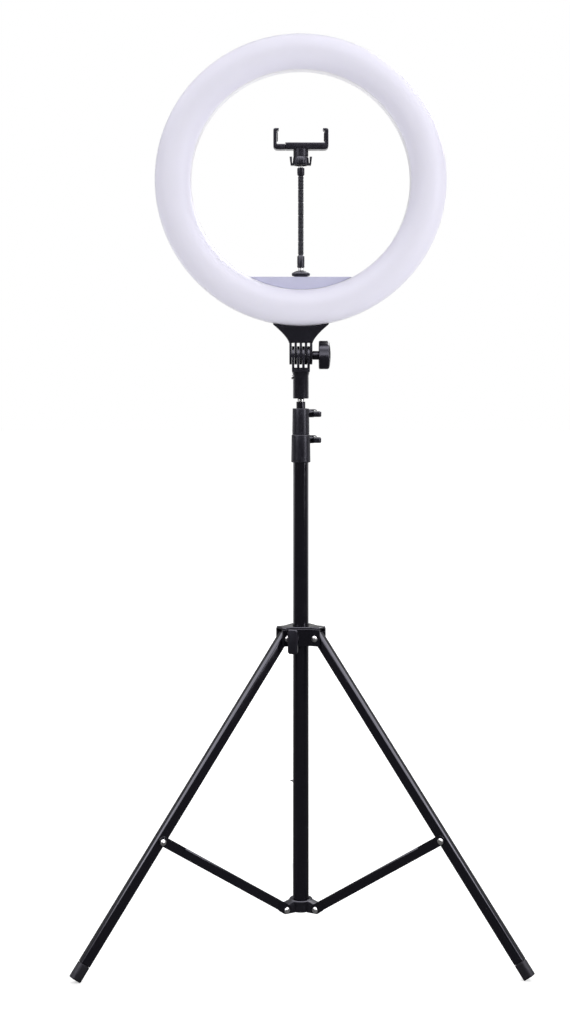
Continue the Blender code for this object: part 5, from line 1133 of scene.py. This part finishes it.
class RINGLIGHT_OT_neck(bpy.types.Operator):
    """Make the shoe, lock disc, ferrules and ribbed links of the neck"""

    bl_idname = "ring_light.neck"
    bl_label = "Gooseneck"

    def execute(self, context):
        k = sizes("clamp")
        self.dress("cold_shoe", steel())
        boards = sizes("finishes")
        self.dress("led_board", circuit("White lamp board", boards.lamp_board))
        self.dress("driver_board", circuit("Green board", boards.board))
        self.post()
        self.disc(k)
        base = float(corners("lower_ferrule")[0][2])
        self.lower_ferrule(k, base)
        base += k.ferrule_length
        self.upper_ferrule(k, base + NECK_LINKS * k.pitch)
        self.links(k, base)
        return {"FINISHED"}

    def dress(self, node, made):
        """Give a packed piece that stays as it is its finish."""
        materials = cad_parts[node].data.materials
        materials.clear()
        materials.append(made)

    def post(self):
        low, high = corners("shoe_foot")
        end = (high[0], high[1], low[2] + 1.2 * MM)
        r, stem, core, e = 3.3 * MM, 1.8 * MM, 2.5 * MM, 0.3 * MM
        foot, z = low[2] + 0.5 * MM, float(corners("shoe_lock_disc")[1][2]) + 0.3 * MM
        profile = line(
            [(0, foot), (core, foot), (core, z), (r - e, z), (r, z + e), (r, z + 1.6 * MM)],
            [(r - e, z + 1.8 * MM), (r, z + 2.0 * MM), (r, z + 3.3 * MM), (r - e, z + 3.6 * MM)],
            [(stem, z + 3.6 * MM), (stem, high[2]), (0, high[2])],
        )
        solids = [slab(low, end, 0.2 * MM, 0.6 * MM), moved(lathe(profile, 48), column())]
        piece("neck_post", solids, steel(), "shoe_slide_body", "shoe_foot")

    def disc(self, k):
        """Shares of the disc's radius and height from its lower to its upper face."""
        low, high = corners("shoe_lock_disc")
        shares = [(0.6, 0), (0.9, 0.13), (0.97, 0.2), (1, 0.3), (1, 0.54), (0.97, 0.62)]
        shares += [(0.88, 0.74), (0.6, 0.93), (0.5, 1)]
        tall, r, bore = float(high[2] - low[2]), k.disc_radius, 2.8 * MM
        profile = line((bore, 0), np.array(shares) * (r, tall), (bore, tall))
        grip = lathe(profile, 240, loop=True, swell=ribbed(40, 0.35 * MM, 0.96 * r))
        at, node = column(float(low[2])), "shoe_lock_disc"
        piece("lock_disc_grip", [grip], plastic(), "lock_disc", node, at)

    def lower_ferrule(self, k, base):
        r, bore, deep, groove = k.ferrule_radius, 2.1 * MM, 5.3 * MM, 0.25 * MM
        top, hose = k.ferrule_length, k.hose_radius
        profile = line(
            [(0, deep), (bore, deep), (bore, 0), (r - 0.6 * MM, 0), (r, 0.6 * MM), (r, 3 * MM)],
            [(r - groove, 3.2 * MM), (r - groove, 3.8 * MM), (r, 4.0 * MM), (r, top - 2.4 * MM)],
            [(r - 0.3 * MM, top - 1.8 * MM), (hose, top - 1.5 * MM)],
            (hose - k.rib_depth, top - k.link_gap),
            seat_arc(k, top),
        )
        solids, body, node = [lathe(profile, 48)], "shoe_slide_body", "lower_ferrule"
        piece(f"{node}_sleeve", solids, plastic(), body, node, column(base))

    def upper_ferrule(self, k, base):
        r, bore, deep, gap, hose = k.ferrule_radius, 2.1 * MM, 5.3 * MM, k.link_gap, k.hose_radius
        top = 10.6 * MM
        profile = line(
            hollow_arc(k),
            [(hose - k.rib_depth, gap), (hose, gap + 0.5 * MM), (r - 0.3 * MM, 1.8 * MM)],
            [(r, 2.4 * MM), (r, top - 0.6 * MM), (r - 0.6 * MM, top), (bore, top)],
            [(bore, top - deep), (0, top - deep)],
        )
        solids, node = [lathe(profile, 48)], "upper_ferrule"
        piece(f"{node}_sleeve", solids, plastic(), "neck_end", node, column(base))

    def links(self, k, base):
        """Ribs: radius R - d ((1 + cos(2 pi n z / L)) / 2)^1.6 down each link."""
        wave = np.linspace(0, 1, 12 * k.ribs + 1)
        z = k.link_gap + wave * (k.pitch - 2 * k.link_gap)
        r = k.hose_radius - k.rib_depth * (0.5 + 0.5 * np.cos(TAU * k.ribs * wave)) ** 1.6
        link = lathe(line(hollow_arc(k), np.column_stack([r, z]), seat_arc(k, k.pitch)), 40)
        for i in range(1, NECK_LINKS + 1):
            at, node = column(base + (i - 1) * k.pitch), f"gooseneck_link_{i}"
            name, body = f"neck_link_{i}", f"link_{i}"
            piece(name, [link], neck_black(), body, node, at, angle=50)


def jaw_outline(k, start, top_of_bar):
    """The right jaw from the front: round at its lower corner, hooked at its top."""
    half, low, w, e = k.width / 2, k.bar_rise, k.jaw_wall, 0.5 * MM
    top, corner, tip, root = low + k.jaw, 5 * MM, 2.4 * MM, 1.5 * MM
    inside = half - w
    hook = inside - k.hook
    return line(
        (start, low),
        arc(corner, -90, 0, 9, (half - corner, low + corner)),
        arc(tip, 0, 90, 5, (half - tip, top - tip)),
        [(hook + e, top), (hook, top - e), (hook, top - 1.6 * MM), (inside, top - 4.4 * MM)],
        arc(root, 0, -90, 5, (inside - root, top_of_bar + root)),
        (start, top_of_bar),
    )


class RINGLIGHT_OT_clamp(bpy.types.Operator):
    """Make the phone clamp: ball, socket, winged nut, bar and jaws"""

    bl_idname = "ring_light.clamp"
    bl_label = "Phone Clamp"

    def execute(self, context):
        k = sizes("clamp")
        ball = float(corners("ball_stud")[1][2]) - k.ball
        at = column(ball)
        self.stud(k, float(corners("ball_stud")[0][2]) - ball, at)
        self.body(k, at)
        self.pad("right", "clamp")
        self.jaw(k, at)
        self.pad("left", "jaw")
        self.nut(at)
        return {"FINISHED"}

    def stud(self, k, low, at):
        stem, flange, z = 1.8 * MM, 3.0 * MM, -12.1 * MM
        under = math.degrees(math.acos(stem / k.ball))
        profile = line(
            arc(k.ball, 90, -under, 22),
            [(stem, z + 1.6 * MM), (flange, z + 1.6 * MM), (flange, z), (stem, z)],
            [(stem, low), (0, low)],
        )
        piece("ball_and_stud", [lathe(profile, 48)], steel(), "stud", "ball_stud", at)

    def body(self, k, at):
        """Fixed jaw and bar: two walls, with a slotted layer between them for the tongue."""
        left, depth, wall, overlap = 15.3 * MM - k.width / 2, k.depth / 2, 5.3 * MM, 1.3 * MM
        outline = jaw_outline(k, left, k.bar_rise + k.bar)
        low, high = k.bar_rise + (k.bar - k.step) / 2 + np.array([-2.4, 2.4]) * MM
        end = left + 46 * MM
        slotted = line(outline, [(left, high), (end, high), (end, low), (left, low)])
        layers = [
            prism([outline], wall, depth, 1.1 * MM, 4),
            prism([outline], -depth, -wall, 1.1 * MM, 4),
            prism([slotted], -wall - overlap, wall + overlap, 0, 1),
        ]
        solids = [moved(layer, Y_UP) for layer in layers] + [self.cup(k)]
        piece("clamp_fixed_jaw", solids, plastic(), "clamp", "clamp_body", at)

    def cup(self, k):
        """Ball cup under the bar, its outside threaded: r - d (1 - cos(2 pi z / pitch)) / 2."""
        top, cavity, mouth, rim = k.bar_rise, k.ball + 0.3 * MM, -4.2 * MM, 9.5 * MM
        over, thread, depth = 1.8 * MM, 7.8 * MM, 0.25 * MM
        z = np.linspace(over, mouth - 2 * MM, 49)
        r = thread - depth * (0.5 - 0.5 * np.cos(TAU * (z - mouth) / MM))
        hollow = arc(cavity, tilt_of(cavity, mouth), 90, 14)
        profile = line(
            [(0, top + MM), (rim - 0.5 * MM, top + MM), (rim, top + 0.5 * MM)],
            [(rim, over + 0.8 * MM), (rim - 0.4 * MM, over + 0.3 * MM)],
            np.column_stack([r, z]),
            (hollow[0, 0] + 1.7 * MM, mouth - 2.2 * MM),
            hollow,
        )
        return lathe(profile, 64)

    def pad(self, side, body):
        """Soft pad with rows of grip ridges across it."""
        low, high = corners(f"jaw_pad_{side}")
        out, sheet_thick, face = -1 if side == "right" else 1, 0.9 * MM, 0.7 * MM
        x = (high[0] if side == "right" else low[0]) - out * sheet_thick
        a, b = sorted((0.0, out * sheet_thick))
        sheet = prism([rounded(high[2] - low[2], high[1] - low[1], 2 * MM, 6)], a, b, 0.2 * MM)
        solids = [moved(sheet, place(x, *(low + high)[1:] / 2) @ Z_TO_X)]
        for z in np.linspace(low[2] + 1.4 * MM, high[2] - 1.4 * MM, 5):
            start, end = [(x + out * face, y, z) for y in (low[1] + 1.6 * MM, high[1] - 1.6 * MM)]
            solids.append(rod(0.5 * MM, start, end, 0.2 * MM, 16))
        piece(f"jaw_grip_{side}", solids, rubber(), body, f"jaw_pad_{side}")

    def jaw(self, k, at):
        """Sliding jaw, the fixed one's mirror image, with the tongue that runs in the bar."""
        start, depth = k.width / 2 - 15 * MM, k.depth / 2
        outline = jaw_outline(k, start, k.bar_rise + k.bar - k.step) * (-1, 1)
        m, half = k.bar_rise + (k.bar - k.step) / 2, 5 * MM
        low, high = (-start - 2 * MM, -half, m - 2.1 * MM), (k.tongue - start, half, m + 2.1 * MM)
        block = moved(prism([outline], -depth, depth, 1.1 * MM, 4), Y_UP)
        solids = [block, slab(low, high, 0.3 * MM, 0.3 * MM)]
        piece("clamp_sliding_jaw", solids, plastic(), "jaw", "clamp_jaw", at)

    def nut(self, at):
        low, high, bore, gap = -9.2 * MM, 1.8 * MM, 8.1 * MM, 1.5 * MM
        r, e = bore + 1.6 * MM, 0.4 * MM
        profile = line(
            [(bore, low), (r - e, low), (r + 0.3 * MM, low + 0.8 * MM)],
            [(r + 0.8 * MM, low + 2 * MM), (r, high - e), (r - e, high), (bore, high)],
        )
        solids = [lathe(profile, 144, loop=True, swell=ribbed(24, 0.3 * MM, r - 0.1 * MM))]
        start, slit = r - 0.6 * MM, r + gap
        wing = line(
            [(start, low), (12.9 * MM, low), (14.3 * MM, high), (slit, high)],
            [(slit, low + 3.6 * MM), (slit - 0.5 * MM, low + 2.8 * MM), (start, low + 2.4 * MM)],
        )
        for side in (-1, 1):
            solids.append(moved(prism([wing * (side, 1)], -4.5 * MM, 4.5 * MM, 0.5 * MM), Y_UP))
        piece("ball_nut_wings", solids, plastic(), "lock_nut", "ball_lock_nut", at)


# ---------------------------------------------------------------- stage


def by_ray(tree, ray, usual, other):
    """The usual shader, and the other one for rays of this kind."""
    path, mix = add_node(tree, "LightPath"), add_node(tree, "MixShader")
    tree.links.new(path.outputs[ray], mix.inputs["Fac"])
    tree.links.new(usual, mix.inputs[1])
    tree.links.new(other, mix.inputs[2])
    return mix.outputs[0]


def combined(tree, kind, first, second):
    joined = add_node(tree, "Math")
    joined.operation = kind
    tree.links.new(first, joined.inputs[0])
    tree.links.new(second, joined.inputs[1])
    return joined.outputs[0]


def split(tree, output):
    """X, Y and Z of a texture coordinate."""
    where, parts = add_node(tree, "TexCoord"), add_node(tree, "SeparateXYZ")
    tree.links.new(where.outputs[output], parts.inputs[0])
    return parts.outputs


def world_light(strength):
    """White to the camera, plain light for matt surfaces, a dim front and a strip for gloss."""
    world = bpy.data.worlds.new("Studio")
    world.use_nodes = True
    tree = world.node_tree
    lit = tree.nodes["Background"]
    shown, seen = add_node(tree, "Background"), add_node(tree, "Background")
    lit.inputs["Color"].default_value = (1, 1, 1, 1)
    lit.inputs["Strength"].default_value = strength
    shown.inputs["Color"].default_value = (*sizes("finishes").backdrop, 1)
    axis = split(tree, "Generated")
    overhead = ranged(tree, axis["Z"], low=0.0, high=7.0, start=0.4, end=0.5)
    forward = ranged(tree, axis["Y"], low=1.0, high=0.08, start=0.3, end=0.6)
    strip = combined(tree, "MULTIPLY", overhead, forward)
    around = ranged(tree, axis["Y"], low=0.13, high=0.45, start=-0.5, end=0.3)
    tree.links.new(combined(tree, "MAXIMUM", around, strip), seen.inputs["Strength"])
    unseen = by_ray(tree, "Is Glossy Ray", lit.outputs[0], seen.outputs[0])
    surface = by_ray(tree, "Is Camera Ray", unseen, shown.outputs[0])
    tree.links.new(surface, tree.nodes["World Output"].inputs["Surface"])
    bpy.context.scene.world = world


def floor_finish():
    """White floor: it keeps its shadows, glows more with distance and is dim in reflections."""
    made, tree, shader = nodes_of("White floor")
    shader.inputs["Base Color"].default_value = (0.93, 0.93, 0.93, 1)
    shader.inputs["Roughness"].default_value = 0.9
    shader.inputs["Specular IOR Level"].default_value = 0.0
    glow, seen = add_node(tree, "Emission"), add_node(tree, "Emission")
    both = add_node(tree, "AddShader")
    where, away = add_node(tree, "TexCoord"), add_node(tree, "VectorMath")
    away.operation = "LENGTH"
    tree.links.new(where.outputs["Object"], away.inputs[0])
    far = ranged(tree, away.outputs["Value"], low=0.46, high=0.62, start=0.5, end=1.6)
    tree.links.new(far, glow.inputs["Strength"])
    tree.links.new(shader.outputs[0], both.inputs[0])
    tree.links.new(glow.outputs[0], both.inputs[1])
    behind = ranged(tree, split(tree, "Object")["Y"], low=0.12, high=1.5, start=0.2, end=3.0)
    tree.links.new(behind, seen.inputs["Strength"])
    unseen = by_ray(tree, "Is Glossy Ray", shader.outputs[0], seen.outputs[0])
    surface = by_ray(tree, "Is Camera Ray", unseen, both.outputs[0])
    tree.links.new(surface, tree.nodes["Material Output"].inputs["Surface"])
    return made


def lamp(name, at, aim, size, power, tall=None):
    """Round lamp, or an upright panel where it has a height of its own."""
    data = bpy.data.lights.new(name, "AREA")
    data.shape, data.size, data.energy = "DISK", size, power
    if tall:
        data.shape, data.size_y = "RECTANGLE", tall
    obj = bpy.data.objects.new(name, data)
    obj.location = at
    obj.rotation_euler = (Vector(aim) - Vector(at)).to_track_quat("-Z", "Y").to_euler()
    bpy.context.scene.collection.objects.link(obj)


class RINGLIGHT_OT_stage(bpy.types.Operator):
    """Set up the floor, lamps and camera"""

    bl_idname = "ring_light.stage"
    bl_label = "Studio"

    def execute(self, context):
        st, y = sizes("stage"), float(COLUMN[1])
        self.floor(context, 20.0)
        world_light(st.world)
        lamp("Key", (2.25, y - 1.45, 1.3), (0, y, 1.1), 0.6, st.key, tall=1.6)
        lamp("Fill", (-2.0, y - 1.6, 1.4), (0, y, 0.6), 1.2, st.fill)
        lamp("Back", (0.9, y + 1.8, 1.9), (0, y, 0.7), 1.0, st.rim)
        self.camera(context, st)
        context.scene.view_settings.view_transform = "Standard"
        return {"FINISHED"}

    def floor(self, context, half):
        mesh = bpy.data.meshes.new("floor")
        square = [(-half, -half, 0), (half, -half, 0), (half, half, 0), (-half, half, 0)]
        mesh.from_pydata(square, [], [(0, 1, 2, 3)])
        mesh.materials.append(floor_finish())
        floor = bpy.data.objects.new("floor", mesh)
        context.scene.collection.objects.link(floor)

    def camera(self, context, st):
        data = bpy.data.cameras.new("Camera")
        data.sensor_fit, data.sensor_height = "VERTICAL", 36.0
        data.lens, data.shift_x, data.shift_y = st.lens, st.shift_x, st.shift_y
        obj = bpy.data.objects.new("Camera", data)
        a = math.radians(st.azimuth)
        y = float(COLUMN[1]) - st.distance * math.cos(a)
        obj.location = (st.distance * math.sin(a), y, st.height)
        obj.rotation_euler = (math.pi / 2, 0, a)
        context.scene.collection.objects.link(obj)
        context.scene.camera = obj


class StageSettings(bpy.types.PropertyGroup):
    """Camera and light."""

    distance: number("Distance", 2.05, "Camera to the column", "LENGTH")
    height: number("Height", 0.708, "Camera above the floor", "LENGTH")
    azimuth: number("Azimuth", -0.75, "Degrees round the column")
    lens: number("Lens", 57.48, "Focal length in millimetres")
    shift_x: number("Shift X", -0.0157, "Share of the frame's height")
    shift_y: number("Shift Y", -0.1234, "Share of the frame's height")
    world: number("Ambient", 0.64, "World light")
    key: number("Key", 24.0, "Key lamp in watts")
    fill: number("Fill", 10.0, "Fill lamp in watts")
    rim: number("Back", 18.0, "Back lamp in watts")


GROUPS = (
    ("stand", StandSizes),
    ("column", ColumnSizes),
    ("head", HeadSizes),
    ("lamp", LampSizes),
    ("clamp", ClampSizes),
    ("finishes", Finishes),
    ("stage", StageSettings),
)
MAKERS = (
    RINGLIGHT_OT_stage,
    RINGLIGHT_OT_legs,
    RINGLIGHT_OT_braces,
    RINGLIGHT_OT_pins,
    RINGLIGHT_OT_hubs,
    RINGLIGHT_OT_tubes,
    RINGLIGHT_OT_collars,
    RINGLIGHT_OT_head,
    RINGLIGHT_OT_ring,
    RINGLIGHT_OT_neck,
    RINGLIGHT_OT_clamp,
)


class RINGLIGHT_PT_panel(bpy.types.Panel):
    """Lists the steps in order"""

    bl_label = "Ring Light"
    bl_idname = "RINGLIGHT_PT_panel"
    bl_space_type = "VIEW_3D"
    bl_region_type = "UI"
    bl_category = "Ring Light"

    def draw(self, context):
        for maker in MAKERS:
            self.layout.operator(maker.bl_idname)
        for name, group in GROUPS:
            box = self.layout.box()
            box.label(text=group.__doc__)
            for key in group.__annotations__:
                box.prop(getattr(context.scene, f"ring_light_{name}"), key)


def register():
    for cls in [group for _, group in GROUPS] + list(MAKERS) + [RINGLIGHT_PT_panel]:
        bpy.utils.register_class(cls)
    for name, group in GROUPS:
        setattr(bpy.types.Scene, f"ring_light_{name}", PointerProperty(type=group))


def unregister():
    for name, _ in GROUPS:
        delattr(bpy.types.Scene, f"ring_light_{name}")
    for cls in [RINGLIGHT_PT_panel] + list(MAKERS)[::-1] + [group for _, group in GROUPS][::-1]:
        bpy.utils.unregister_class(cls)


def main():
    register()
    for maker in MAKERS:
        group, name = maker.bl_idname.split(".")
        getattr(getattr(bpy.ops, group), name)()


if __name__ == "__main__":
    main()
